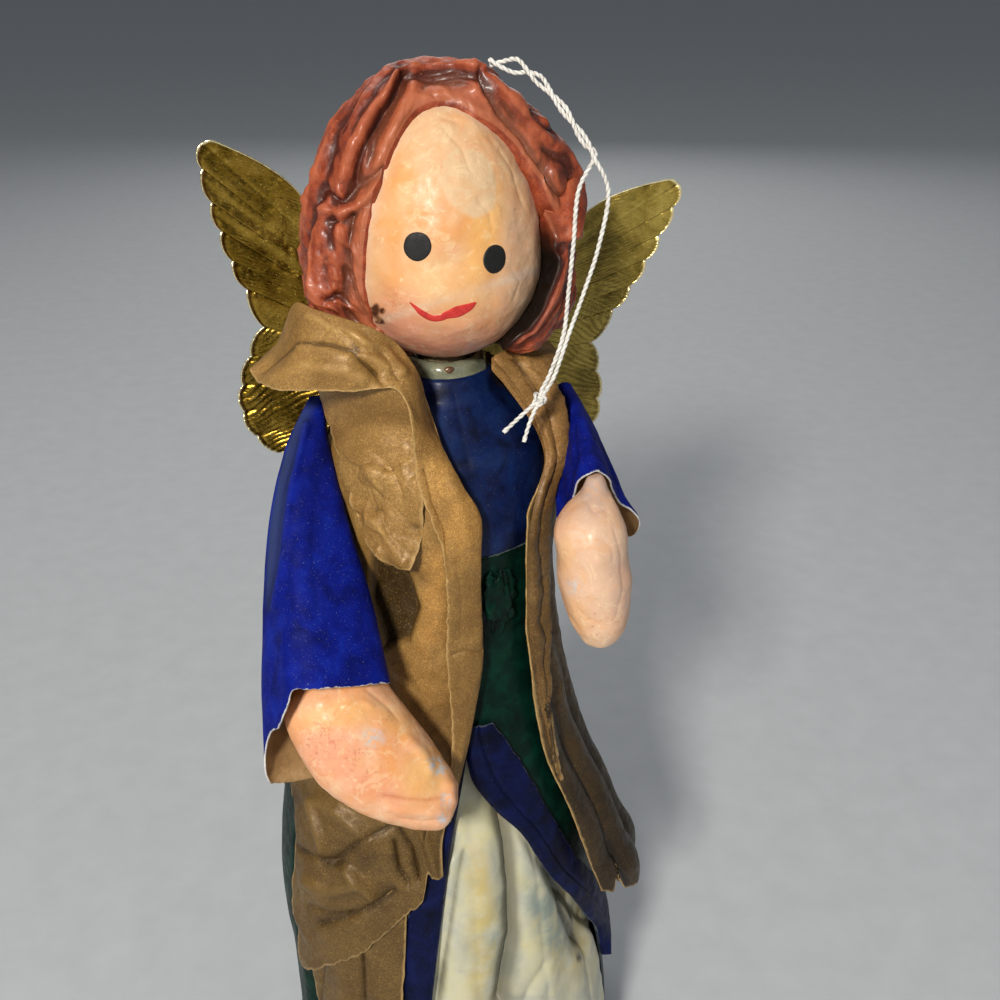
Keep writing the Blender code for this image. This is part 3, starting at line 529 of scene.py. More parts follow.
def make_skin(name, hand=False):
    m = Look(name, rough=0.5, coat=0.22 if hand else 0.08, coat_rough=0.26, spec=0.32)
    blot = m.noise(9.0, 4, 0.55, 0.5)
    cream, peach, orange = srgb(230, 190, 146), srgb(226, 174, 126), srgb(226, 160, 100)
    if hand:
        cream, peach, orange = srgb(240, 198, 160), srgb(238, 176, 132), srgb(234, 160, 100)
    base = m.ramp(blot, (0.34, cream), (0.50, peach), (0.66, orange))
    base = m.mix(m.band(m.noise(3.2, 4, 0.65), 0.5, 0.75, 0.0, 0.45), base, srgb(228, 156, 120))
    base = m.mix(m.attr("pink"), base, srgb(222, 146, 122))
    base = m.mix(m.attr("pale"), base, srgb(220, 186, 158))
    base = m.mix(m.attr("yellow"), base, srgb(238, 178, 98))
    base = m.mix(m.math('MULTIPLY', m.attr("cream"), m.band(m.noise(4.5, 4), 0.2, 0.42)), base, srgb(224, 188, 146))
    base = m.mix(m.band(m.noise(1.0, 4, 0.75, 0.4), 0.56, 0.72, 0.0, 0.35), base, srgb(214, 152, 104))
    base = m.mix(m.band(m.noise(2.0, 3, 0.6, 0.8), 0.60, 0.70, 0.0, 0.4), base, srgb(242, 216, 176))
    base = m.mix(m.attr("shade"), base, srgb(196, 168, 152))
    freck = m.math('MULTIPLY', m.band(m.noise(0.9, 3, 0.7), 0.60, 0.68), m.band(m.noise(7.0, 2), 0.42, 0.6, 0.1, 0.8))
    base = m.mix(m.math('MULTIPLY', freck, m.math('ADD', m.attr("freckle"), 0.14)), base, srgb(176, 112, 78))
    scr = m.math('MULTIPLY', m.attr("scratch"), m.band(m.noise(1.1, 3, 0.7, 1.0), 0.52, 0.62))
    base = m.mix(m.math('MULTIPLY', scr, 0.6), base, srgb(200, 112, 80))
    base = m.mix(m.math('MULTIPLY', m.attr("wear_and_sheen"), m.band(m.noise(1.4, 3, 0.6), 0.4, 0.6)), base, srgb(188, 198, 206))
    # dent darkens and reddens the creases and grooves: painted shade
    base = m.mix(m.band(m.attr("dent"), -0.2, -1.0, 0.0, 0.65), base, srgb(190, 104, 62))
    base = m.mix(m.attr("chip"), base, srgb(84, 48, 30))
    m.set("Base Color", base)
    patch = m.noise(6.0, 5, 0.7, 1.2)
    m.set("Base Color", m.mix(m.band(patch, 0.53, 0.60, 0.0, 0.30), m.mix(m.band(patch, 0.44, 0.38, 0.0, 0.30), base, srgb(244, 216, 172)), srgb(226, 164, 108)))
    m.set("Roughness", m.band(m.noise(2.2, 4, 0.65), 0.3, 0.7, 0.36, 0.66))
    m.bump((m.noise(3.4, 3, 0.55), 0.22, 0.35), (m.noise(1.1, 4, 0.65), 0.10, 0.5), (m.noise(0.45, 3, 0.6), 0.04, 0.5))
    return m.mat


def make_hair():
    m = Look("hair_lacquer", rough=0.46, coat=0.18, coat_rough=0.2, spec=0.36)
    base = m.ramp(m.noise(6.0, 4, 0.6, 0.8), (0.30, srgb(106, 38, 18)), (0.48, srgb(148, 64, 35)), (0.70, srgb(178, 90, 56)))
    base = m.mix(m.band(m.noise(1.6, 4, 0.7, 0.6), 0.42, 0.68, 0.0, 0.6), base, srgb(112, 42, 26))
    # dent darkens the creases and lightens the ridges: painted shade and painted highlight
    base = m.mix(m.band(m.attr("dent"), 0.0, -0.9, 0.0, 0.9), base, srgb(64, 22, 12))
    base = m.mix(m.band(m.attr("dent"), 0.25, 1.1, 0.0, 0.6), base, srgb(190, 102, 66))
    base = m.mix(m.attr("pale"), base, srgb(192, 116, 80))
    base = m.mix(m.band(m.noise(0.7, 3, 0.7), 0.62, 0.70, 0.0, 0.45), base, srgb(204, 132, 96))
    # painted shadow: the shade mask turns the gap beside the right lock near-black
    base = m.mix(m.attr("painted_shade"), base, srgb(14, 6, 4))
    m.set("Base Color", base)
    m.set("Roughness", m.band(m.noise(2.0, 4, 0.65), 0.3, 0.75, 0.34, 0.64))
    m.bump((m.noise(2.6, 4, 0.65, 0.8), 0.35, 0.5), (m.noise(0.7, 3, 0.65), 0.08, 0.5))
    return m.mat


def make_white():
    m = Look("underskirt_paint", rough=0.4, coat=0.2, coat_rough=0.2, spec=0.5)
    base = m.ramp(m.noise(9.0, 4, 0.6, 0.4), (0.32, srgb(176, 177, 162)), (0.5, srgb(194, 191, 166)), (0.7, srgb(202, 195, 154)))
    base = m.mix(m.math('MULTIPLY', m.attr("yellow"), m.band(m.noise(7.0, 4, 0.6), 0.25, 0.65, 0.0, 0.9)), base, srgb(190, 168, 100))
    # blue-grey stains, laid along the fold valleys so that they also paint shade there
    base = m.mix(m.math('MULTIPLY', m.attr("blue"), m.band(m.noise(6.0, 4, 0.6), 0.25, 0.65, 0.0, 0.85)), base, srgb(126, 142, 136))
    # dent darkens the fold valleys: painted shade
    base = m.mix(m.band(m.attr("dent"), -0.1, -1.0, 0.0, 0.8), base, srgb(104, 100, 82))
    base = m.mix(m.attr("chip"), base, srgb(40, 34, 30))
    m.set("Base Color", base)
    m.set("Roughness", m.band(m.noise(3.0, 3, 0.6), 0.3, 0.75, 0.32, 0.52))
    m.bump((m.noise(2.8, 3, 0.6), 0.15, 0.4), (m.noise(0.6, 3, 0.6), 0.04, 0.5))
    return m.mat


def make_foil(name, metal, gain):
    m = Look(name, rough=0.3, metal=metal, spec=0.5)
    dull, mid, fair = (tuple(min(1, k * g) for k, g in zip(c, gain)) for c in (srgb(96, 76, 20), srgb(142, 116, 42), srgb(178, 150, 66)))
    base = m.ramp(m.noise(11.0, 4, 0.6, 0.5), (0.3, dull), (0.5, mid), (0.7, fair))
    base = m.mix(m.band(m.noise(0.5, 2, 0.7), 0.61, 0.72, 0.0, 0.6), base, srgb(230, 208, 124))
    # dent darkens the embossed hollows and lightens the ridges: painted shade and painted highlight
    base = m.mix(m.band(m.attr("dent"), -0.1, -1.0, 0.0, 0.7), base, srgb(66, 50, 8))
    base = m.mix(m.band(m.attr("dent"), 0.2, 1.0, 0.0, 0.7), base, srgb(226, 200, 112))
    base = m.mix(m.band(m.attr("edge"), 0.9, 0.25, 0.0, 0.9), base, srgb(246, 232, 180))
    m.set("Base Color", base)
    m.set("Roughness", m.band(m.noise(1.8, 4, 0.65), 0.3, 0.75, 0.2, 0.46))
    m.bump((m.noise(0.9, 3, 0.6), 0.12, 0.5), (m.noise(3.2, 3, 0.6), 0.25, 0.4))
    return m.mat


def make_plain(name, lo, mid, hi, mm, rough=0.8, metal=0.0, bump_mm=0.1, coat=0.0):
    m = Look(name, rough=rough, metal=metal, coat=coat)
    base = m.ramp(m.noise(mm, 4, 0.6, 0.3), (0.3, lo), (0.5, mid), (0.7, hi))
    base = m.mix(m.band(m.noise(mm * 0.14, 3, 0.7), 0.5, 0.75, 0.0, 0.45), base, tuple(c * 0.6 for c in lo))
    m.set("Base Color", base)
    m.set("Roughness", m.band(m.noise(mm * 0.3, 3, 0.6), 0.3, 0.75, max(0.05, rough - 0.1), min(1, rough + 0.1)))
    m.bump((m.noise(mm * 0.16, 3, 0.6), bump_mm, 0.5))
    return m.mat


GOLD = make_gold("coat_gold_paint", srgb(158, 118, 61), srgb(188, 147, 84), srgb(124, 88, 40), metal=0.12)
# a darkened copy of the coat gold: painted shade for the left front and the back of the left lapel
GOLD_SHADED = make_gold("coat_gold_painted_shade", srgb(88, 64, 33), srgb(124, 95, 54), srgb(50, 34, 16), metal=0.15)
GOLD_BROWN = make_gold("coat_gold_brown", srgb(148, 106, 54), srgb(178, 138, 82), srgb(110, 74, 32), metal=0.12)
KRAFT = make_plain("kraft_inside", srgb(122, 92, 54), srgb(160, 124, 78), srgb(182, 148, 102), 8, 0.8)
TORN = make_plain("torn_paper_edge", srgb(184, 160, 118), srgb(214, 196, 160), srgb(232, 220, 194), 2.5, 0.85)
TORN_GOLD = make_plain("torn_gold_edge", srgb(150, 114, 60), srgb(190, 152, 92), srgb(220, 188, 130), 2.5, 0.7, 0.2)
BLUE = make_paint("sleeve_ultramarine", srgb(5, 22, 122), srgb(10, 34, 144), srgb(3, 13, 90), 0.68, 0.0, 0.34, 0.75, spec=0.12)
NAVY = make_paint("bodice_navy", srgb(10, 28, 72), srgb(16, 40, 88), srgb(4, 13, 40), 0.42, 0.06, 0.18, 0.0, spec=0.18)
TURN = make_paint("turnback_blue_paint", srgb(4, 12, 50), srgb(9, 20, 68), srgb(2, 5, 26), 0.52, 0.03, 0.08, 0.06, spec=0.12)
GREEN = make_paint("overskirt_green_paint", srgb(1, 34, 25), srgb(4, 50, 37), srgb(1, 18, 14), 0.46, 0.04, 0.04, 0.08, spec=0.12)
TORN_DARK = make_plain("skirt_paper_edge", srgb(40, 54, 70), srgb(66, 80, 92), srgb(96, 108, 112), 2.2, 0.8)
TORN_BLUE = make_plain("torn_blue_edge", srgb(150, 150, 160), srgb(208, 206, 204), srgb(228, 224, 214), 1.8, 0.85)
WHITE = make_white()
HAIR = make_hair()
SKIN = make_skin("skin_varnish")
SKIN_HAND = make_skin("skin_hands_varnish", True)
FOIL = make_foil("wing_foil_gold", 1.0, (0.8, 0.74, 0.7))
# a brightened copy of the foil with less metal for the left wing: painted light
FOIL_LIT = make_foil("wing_foil_gold_painted_light", 0.6, (1.2, 1.3, 1.6))
FOIL_BACK = make_plain("wing_foil_reverse", srgb(120, 100, 44), srgb(158, 134, 64), srgb(190, 166, 92), 6, 0.38, 1.0, 0.15)
EYE = make_plain("eye_black", srgb(7, 6, 6), srgb(12, 11, 10), srgb(22, 20, 19), 2.2, 0.62, 0, 0.05)
LIPS = make_plain("mouth_red", srgb(172, 22, 18), srgb(202, 34, 26), srgb(218, 58, 42), 2.0, 0.35, 0, 0.05, 0.4)
GLAZE = make_plain("neck_glaze", srgb(92, 95, 76), srgb(118, 120, 98), srgb(146, 144, 118), 4.5, 0.2, 0, 0.2, 0.7)
CHIP_BROWN = make_plain("bare_card_chip", srgb(70, 44, 26), srgb(104, 68, 40), srgb(134, 94, 58), 2.0, 0.5, 0, 0.15, 0.4)
STEEL = make_plain("drawn_wire", srgb(112, 108, 100), srgb(150, 146, 138), srgb(178, 174, 166), 3.0, 0.38, 1.0, 0.03)
CARD = make_plain("raw_card", srgb(132, 112, 82), srgb(164, 142, 108), srgb(186, 164, 130), 7, 0.9, 0, 0.2)


def make_cotton():
    m = Look("cotton_twist", rough=0.85, sheen=0.3, spec=0.3)
    base = m.ramp(m.noise(1.2, 3, 0.6), (0.3, srgb(206, 202, 194)), (0.55, srgb(234, 231, 224)), (0.8, srgb(246, 244, 238)))
    # dent darkens the grooves between the plies: painted shade
    base = m.mix(m.band(m.attr("dent"), 0.0, -1.0, 0.0, 0.75), base, srgb(142, 136, 128))
    m.set("Base Color", base)
    m.bump((m.noise(0.22, 3, 0.7, 0.0), 0.06, 0.6))
    return m.mat


COTTON = make_cotton()


# ------------------------------------------------------------------ hanging loop
EXIT = V3(11, -3, 309.4)
JOIN = [V3(18.5, -6.5, 308.0), V3(24.3, -12, 302.0), V3(31.3, -17, 291.5)]
EYE_A = [V3(27.6, -18.6, 284.5), V3(26.8, -18.6, 273), V3(26, -18.4, 262)]
EYE_B = [V3(34.4, -18.2, 284), V3(32.6, -18.4, 272), V3(29.4, -18.6, 261.5)]
DOWN = [V3(25.4, -19.6, 252.6), V3(22, -22, 244.6)]
CORD_KNOT = V3(18.2, -24.6, 239.2)
BESIDE_LOW = unit(V3(0.90, -0.10, -0.35))
TAILS = [[V3(-4.6, -1, -3.4), V3(-8.6, -1.8, -6.6)], [V3(-2.2, -1.4, -4.2), V3(-4, -2.6, -9)]]


def spline(ctrl, n):
    c = [np.asarray(p, float) for p in ctrl]
    c = [c[0] * 2 - c[1]] + c + [c[-1] * 2 - c[-2]]
    fine = []
    for i in range(1, len(c) - 2):
        t = np.linspace(0, 1, 24, endpoint=False)[:, None]
        a, b, d, e = c[i - 1], c[i], c[i + 1], c[i + 2]
        fine.append(0.5 * (2 * b + (d - a) * t + (2 * a - 5 * b + 4 * d - e) * t ** 2 + (3 * b - a - 3 * d + e) * t ** 3))
    fine = np.concatenate(fine + [c[-2][None]])
    s = np.concatenate([[0], np.cumsum(np.linalg.norm(np.diff(fine, axis=0), axis=1))])
    want = np.linspace(0, s[-1], n)
    return np.stack([np.interp(want, s, fine[:, k]) for k in range(3)], axis=-1), s[-1]


def sweep(path, ring, radius):
    """Tube along path; radius(s, angle) in mm gives the section. Rings turn without twist."""
    t = unit(np.gradient(path, axis=0))
    n = np.zeros_like(path)
    ref = V3(0.3, 0.8, 0.5)
    for k in range(len(path)):
        ref = unit(ref - t[k] * np.dot(ref, t[k]))
        n[k] = ref
    b = np.cross(t, n)
    s = np.concatenate([[0], np.cumsum(np.linalg.norm(np.diff(path, axis=0), axis=1))])
    a = np.linspace(0, 2 * np.pi, ring, endpoint=False)
    r = radius(s[:, None], a[None, :])
    P = path[:, None] + r[..., None] * (np.cos(a)[None, :, None] * n[:, None] + np.sin(a)[None, :, None] * b[:, None])
    return P, s


def two_ply(s, a, scale=1.0):
    ply = np.abs(np.cos(a - 2 * np.pi * s / 3.1))
    return scale * (0.30 + 0.22 * ply ** 0.8) * (1 + 0.06 * noise1(s, 1.3, 5))


def capped(P):
    first, last = P[:1].mean(axis=1, keepdims=True), P[-1:].mean(axis=1, keepdims=True)
    return np.concatenate([np.repeat(first, P.shape[1], 1), P, np.repeat(last, P.shape[1], 1)])


def loop_points(sign, eye, tail):
    mid, _ = spline([EXIT] + JOIN, 12)
    t = unit(np.gradient(mid, axis=0))
    e1 = unit(np.cross(t, V3(0.2, 0.9, 0.3)))
    e2 = np.cross(t, e1)
    turn = np.linspace(0.4, 0.4 + 2 * np.pi * 2.2, len(mid))[:, None]
    spread = np.interp(np.linspace(0, 1, len(mid)), [0, 0.15, 0.45, 0.8, 1.0], [0.9, 1.5, 0.56, 0.56, 0.6])[:, None]
    pts = list(mid + sign * spread * (np.cos(turn) * e1 + np.sin(turn) * e2))
    pts += eye + [p + BESIDE_LOW * (0.58 * sign) for p in DOWN]
    pts += [CORD_KNOT + unit(DOWN[-1] - CORD_KNOT) * 2.6 + BESIDE_LOW * (0.5 * sign), CORD_KNOT + BESIDE_LOW * (0.2 * sign)]
    pts += [CORD_KNOT + q for q in tail]
    return pts


cords = []
for name, sign, eye, tail in (("hanging_cord_a", -1, EYE_A, TAILS[0]), ("hanging_cord_b", 1, EYE_B, TAILS[1])):
    fine, length = spline(loop_points(sign, eye, tail), 330)
    P, s = sweep(fine, 12, two_ply)
    # frayed end
    fray = step(length - 1.6, length, s)[:, None, None]
    P = fine[:, None] + (P - fine[:, None]) * (1 + 0.5 * fray * (0.5 + 0.5 * vnoise(P * 2.2, 3))[..., None])
    P = capped(P)
    rr = np.linalg.norm(P[1:-1] - fine[:, None], axis=-1)
    dent = np.concatenate([np.zeros((1, 12)), np.clip((rr - 0.44) / 0.12, -1, 1), np.zeros((1, 12))])
    obj = skin(name, P, [COTTON], {"dent": dent}, wrap=True)
    cords.append((obj, spline(loop_points(sign, eye, tail), 40)[0]))

kt = np.linspace(0, 2 * np.pi, 140, endpoint=False)
knot_path = np.stack([(np.sin(kt) + 2 * np.sin(2 * kt)) * 0.52, (np.cos(kt) - 2 * np.cos(2 * kt)) * 0.46,
                      -np.sin(3 * kt) * 0.62], axis=-1)
k_right, k_up = unit(DOWN[-1] - CORD_KNOT), V3(0, -1, 0.2)
k_side = unit(np.cross(k_right, k_up))
k_up = np.cross(k_side, k_right)
knot_path = CORD_KNOT + knot_path[:, :1] * k_side + knot_path[:, 1:2] * k_right + knot_path[:, 2:] * k_up
kp = np.concatenate([knot_path, knot_path[:2]])
P, s = sweep(kp, 12, two_ply)
knot = skin("hanging_cord_knot", P, [COTTON], {"dent": np.clip((np.linalg.norm(P - kp[:, None], axis=-1) - 0.44) / 0.12, -1, 1)}, wrap=True)
place(knot, "doll", "cord_cotton", "cord_knot")
for (obj, path), node in zip(cords, ("cord_strand_a", "cord_strand_b")):
    place(obj, "doll", "cord_cotton", node)


# ------------------------------------------------------------------ head
def egg(lat, lon, grow=0.0):
    a = np.radians(lat)
    z = HEAD_Z + np.where(a >= 0, HEAD_UP + grow, HEAD_DOWN + grow) * np.sin(a)
    return polar(lon, (HEAD_R + grow) * np.cos(a), z)


# where the hair's front edge lies on the face, as seen from the camera
FACE_PX = [(417, 111), (432, 106), (454, 106), (471, 114), (495, 131), (512, 149), (519, 162), (531, 188), (537, 211),
           (542, 236), (556, 244), (562, 262), (552, 298), (530, 330), (505, 352), (470, 364), (442, 366), (410, 360),
           (388, 338), (375, 322), (367, 303), (364.5, 277), (364.5, 252), (368, 227), (373, 203), (383, 174), (393, 149),
           (407, 122)]

U, V = uv(381, 280)
P = egg(lerp(-89, 89, V), lerp(-180, 180, U))[:, :-1]
N = unit((P - V3(0, 0, HEAD_Z)) / np.array([HEAD_R ** 2, HEAD_R ** 2, HEAD_UP * 28]))
lump = 0.30 * fbm(P, 13, 3, 4) + 0.10 * fbm(P, 4.2, 3, 8) + 0.18 * np.minimum(0, fbm(P, 7.5, 2, 21) + 0.1)
HS = np.stack([np.radians(lerp(-180, 180, U[:, :-1])) * 20, P[..., 2]], axis=-1)
lump += 0.16 * facets(HS, 7.5, 3) + 0.07 * facets(HS, 3.2, 5) + 0.035 * fbm(P, 1.5, 2, 31)
lump += carve(P, N, [("crease", [(404, 150), (416, 128), (440, 116), (462, 122)], 2.0, -0.25), ("crease", [(446, 132), (462, 150), (470, 170)], 2.0, -0.2),
                     ("line", [(398, 172), (420, 152), (450, 146)], 5, 0.2), ("crease", [(500, 150), (514, 172), (524, 206)], 2.2, -0.3),
                     ("crease", [(478, 200), (490, 214), (492, 232)], 2.0, -0.2), ("crease", [(392, 222), (404, 214), (432, 216)], 2.0, -0.18),
                     ("crease", [(430, 268), (452, 262), (470, 268)], 2.2, -0.2), ("crease", [(512, 268), (520, 282), (514, 300)], 2.0, -0.25)])
P = P + N * lump[..., None]
Q, F = to_px(P), facing(P, N)
ragged = 7 * fbm(P, 5, 3, 12)
head_attr = {
    "dent": lump * 0.6,
    "cream": F * np.clip(oval(Q + ragged[..., None] * 0.5, 470, 182, 27, 34, -15, 0.08) + 0.6 * oval(Q, 430, 140, 32, 30, -30, 0.5), 0, 1),
    "pink": F * np.clip(step(300, 352, Q[..., 1]) * 0.75 + 0.4 * oval(Q, 400, 310, 30, 26, 0, 0.6), 0, 0.85),
    "yellow": F * np.clip(0.7 * oval(Q, 484, 232, 16, 46, 12, 0.6) + 0.3 * oval(Q, 440, 282, 46, 22, 0, 0.7) + 0.22 * oval(Q, 400, 195, 14, 50, 12, 0.7), 0, 0.75),
    # pale: a pale glue line along the hair's edge, plus a pale oval on the face's right side that is painted light
    "pale": F * np.clip(0.65 * np.exp(-(line_dist(Q, FACE_PX[:12] + FACE_PX[19:])[0] / 5.0) ** 2) + 0.5 * oval(Q, 524, 275, 26, 75, 0, 0.7), 0, 1),
    "shade": F * 0.04 * np.clip(step(505, 545, Q[..., 0]) * step(200, 300, Q[..., 1]), 0, 1),
    "freckle": F * np.clip(0.8 * step(318, 350, Q[..., 1]) + 0.9 * oval(Q, 518, 220, 20, 30, 0, 0.7) + 0.5 * oval(Q, 462, 182, 20, 26, 0, 0.6), 0, 1),
    "scratch": F * 0.8 * oval(Q, 397, 300, 12, 16, 0, 0.5),
    "wear_and_sheen": F * 0.8 * step(338, 352, Q[..., 1]) * step(440, 500, Q[..., 0]),
    "chip": F * np.clip(oval(Q + ragged[..., None], 376, 311, 7, 6, 30, 0.3) + oval(Q, 382.5, 311, 2.6, 3.2, 0, 0.3) + oval(Q + ragged[..., None] * .6, 378, 320, 4, 3, 0, .3), 0, 1),
}
head = skin("head_egg", P, [SKIN], head_attr, wrap=True)
place(head, "doll", "skin_head", "head")
head_bvh = BVHTree.FromPolygons([tuple(p) for p in P.reshape(-1, 3)], grid_faces(P.shape[0], P.shape[1], True).tolist())


def on_head(px):
    """Points on the head where the picture shows the given pixels, and normals."""
    pts, nrm = [], []
    for x, y in np.asarray(px).reshape(-1, 2):
        hit, n, _, _ = head_bvh.ray_cast(Vector(CAM), Vector(px_ray(x, y)))
        pts.append(hit)
        nrm.append(n)
    pts, nrm = np.array(pts, float), np.array(nrm, float)
    flip = np.sum(nrm * (pts - V3(0, 0, HEAD_Z)), axis=1) < 0
    nrm[flip] *= -1
    return pts.reshape(np.shape(px)[:-1] + (3,)), nrm.reshape(np.shape(px)[:-1] + (3,))


def paint_dab(name, px, height, mat, slot):
    pts, nrm = on_head(px)
    P = pts + nrm * height[..., None]
    if np.sum(normals(P) * nrm) < 0:
        P = P[:, ::-1]
    return place(skin(name, np.ascontiguousarray(P), [mat]), "doll", slot)


for name, cx, cy, rx, ry, turn in (("eye_right", 417.5, 246.5, 14.2, 14.9, 0), ("eye_left", 494.5, 259, 11.4, 14.8, 10)):
    A, R = np.meshgrid(np.linspace(0, 2 * np.pi, 73), np.linspace(0.02, 1, 14))
    wob = 1 + 0.010 * np.sin(3 * A + cx) + 0.008 * np.sin(5 * A)
    x, y = rx * R * wob * np.cos(A), ry * R * wob * np.sin(A)
    c, s = math.cos(math.radians(turn)), math.sin(math.radians(turn))
    px = np.stack([cx + x * c - y * s, cy + x * s + y * c], axis=-1)
    paint_dab(name, px, np.where(R > 0.99, -0.05, 0.12 + 0.12 * np.sqrt(np.clip(1 - R ** 4, 0, 1))), EYE, "skin_head")

MOUTH = [(410, 302.5, 0.6), (415.4, 307.4, 1.9), (421.5, 312.8, 3.0), (431.8, 318.1, 3.2), (441.2, 317.7, 3.3), (446.4, 315.2, 4.3),
         (456.5, 312.1, 5.5), (464.7, 309.1, 5.0), (470.8, 306.2, 3.5), (475.8, 302.5, 0.8)]
mid, _ = spline([V3(*m) for m in MOUTH], 70)
tan = unit(np.gradient(mid[:, :2], axis=0))
across = np.linspace(-1, 1, 11)[:, None]
wide = mid[:, 2] * (1 + 0.07 * noise1(np.arange(70.0), 6, 3))
px = mid[None, :, :2] + (across * wide[None])[..., None] * np.stack([-tan[:, 1], tan[:, 0]], axis=-1)[None]
paint_dab("mouth", px, np.broadcast_to(0.05 + 0.11 * np.sqrt(np.clip(1 - across ** 2, 0, 1)) - 0.1 * (np.abs(across) > 0.99), px.shape[:2]), LIPS, "skin_head")

# ------------------------------------------------------------------ hair: a lacquered paper hood
HOOD = V3(0, 0, 251)


def hair_r(z):
    return np.where((z > 310.5) | (z < 248.0), -1.0, curve(z, HAIR_Z))


def hood(al, be):
    a, b = np.radians(al), np.radians(be)
    d = np.stack([np.sin(a) * np.sin(b), -np.cos(a) + 0 * b, np.sin(a) * np.cos(b)], axis=-1)
    lo, hi = np.zeros(d.shape[:-1]), np.full(d.shape[:-1], 80.0)
    for _ in range(36):
        mid = (lo + hi) / 2
        p = HOOD + mid[..., None] * d
        ys = np.where(p[..., 1] < 0, 0.70, 1.0)
        out = np.hypot(p[..., 0], p[..., 1] / ys) > hair_r(p[..., 2])
        hi, lo = np.where(out, mid, hi), np.where(out, lo, mid)
    return HOOD + lo[..., None] * d


hc = V3(0, 0, HEAD_Z)


def egg_scale(P):
    rel = P - hc
    down = np.where(rel[..., 2] > 0, HEAD_UP, HEAD_DOWN)
    return np.sqrt((rel[..., 0] ** 2 + rel[..., 1] ** 2) / HEAD_R ** 2 + (rel[..., 2] / down) ** 2)


def on_egg(al, be, grow):
    a, b = np.radians(al), np.radians(be)
    d = np.stack([np.sin(a) * np.sin(b), -np.cos(a) + 0 * b, np.sin(a) * np.cos(b)], axis=-1)
    lo, hi = np.zeros(d.shape[:-1]), np.full(d.shape[:-1], 80.0)
    for _ in range(34):
        mid = (lo + hi) / 2
        out = egg_scale(HOOD + mid[..., None] * d) > grow
        hi, lo = np.where(out, mid, hi), np.where(out, lo, mid)
    return HOOD + lo[..., None] * d


def blur(A, n):
    k = np.hanning(n + 2)[1:-1]
    k = k / k.sum()
    for ax in (0, 1):
        A = np.apply_along_axis(lambda r: np.convolve(np.pad(r, (n // 2, n - 1 - n // 2), mode="edge"), k, mode="valid"), ax, A)
    return A


be = np.linspace(-128, 128, 560)
test = np.linspace(20, 104, 420)
on = on_egg(test[:, None], be[None], 1.0)
away = np.sum(unit((on - hc) / np.array([HEAD_R ** 2, HEAD_R ** 2, HEAD_UP * 28])) * unit(CAM - on), axis=-1)
open_face = (inside(to_px(on), FACE_PX, 0.5) > 0.5) & (away > 0.03)
first_out = np.array([np.argmin(open_face[:, k]) if not open_face[:, k].all() else len(test) - 1 for k in range(len(be))])
gap = step(42, 54, be)[None]
LOCK_PX = [(430, 150), (520, 185), (541, 222), (551, 243), (555, 262), (550, 284), (539, 310), (523, 331), (501, 353), (470, 372), (400, 372), (385, 300)]
lock = hood(test[:, None], be[None])
lock = hc + (lock - hc) * np.maximum(1.0, 1.045 / egg_scale(lock))[..., None]
in_lock = inside(to_px(lock), LOCK_PX, 0.5) > 0.5
lock_out = np.array([np.argmin(in_lock[:, k]) if not in_lock[:, k].all() else len(test) - 1 for k in range(len(be))])
edge_al = lerp(np.minimum(test[first_out], 104), test[lock_out], gap[0])
kern = np.hanning(15) / np.hanning(15).sum()
edge_al = np.convolve(np.pad(edge_al, 7, mode="edge"), kern, mode="valid") + 0.7 * noise1(be, 9, 3)
t = np.linspace(0, 1, 240)[:, None] ** 1.1
AL = edge_al[None] + (178.5 - edge_al[None]) * t
BE = np.broadcast_to(be[None], AL.shape)
P0 = hood(AL, BE)
P0 = hc + (P0 - hc) * np.maximum(1.0, 1.045 / egg_scale(P0))[..., None]
q = np.concatenate([np.zeros((1, len(be))), np.cumsum(np.linalg.norm(np.diff(P0, axis=0), axis=-1), axis=0)])
w = lerp(step(-1.5, 9.0, q), 1.0, gap)
P0 = lerp(on_egg(AL, BE, 1.018), P0, w[..., None])
N0 = normals(P0)
if np.sum(N0 * (P0 - HOOD)) < 0:
    N0 = -N0
arc = np.broadcast_to(np.radians(be)[None] * 42, q.shape)
S = np.stack([arc * np.sin(np.radians(np.clip(AL, 30, 150))), q], axis=-1)
SA = S * np.array([0.55, 1.0])
wander = 4.5 * noise1(be, 22, 9)[None] + 1.5 * noise1(be, 7, 2)[None]
fold = np.abs(np.sin(np.pi * (q + wander + 0.10 * arc) / 11.5)) ** 0.75 - 0.6
fold2 = np.abs(np.sin(np.pi * (q * 0.7 - 0.5 * arc + 6 * fbm(S, 18, 2, 3)) / 9.0)) ** 0.8 - 0.6
disp = (0.45 * np.exp(-((q - 1.0) / 1.0) ** 2) - 0.9 * np.exp(-((q - 4.4 - 0.3 * wander) / 1.2) ** 2)) * (1 - gap)
disp += (0.7 * fold + 0.35 * fold2) * step(4.5, 9, q) * (0.75 + 0.5 * fbm(S, 26, 2, 77))
disp += 1.7 * facets(SA, 9.5, 3, 0.8) * step(1.5, 7, q) + 1.15 * facets(SA, 4.6, 8, 0.8) * step(0.5, 4, q)
disp += 0.42 * facets(S, 2.5, 11) * step(0.3, 3, q) + 0.17 * facets(S, 1.25, 13)
swell = 4.2 * np.exp(-((BE - 40) / 15) ** 2) * np.exp(-((AL - 90) / 26) ** 2)
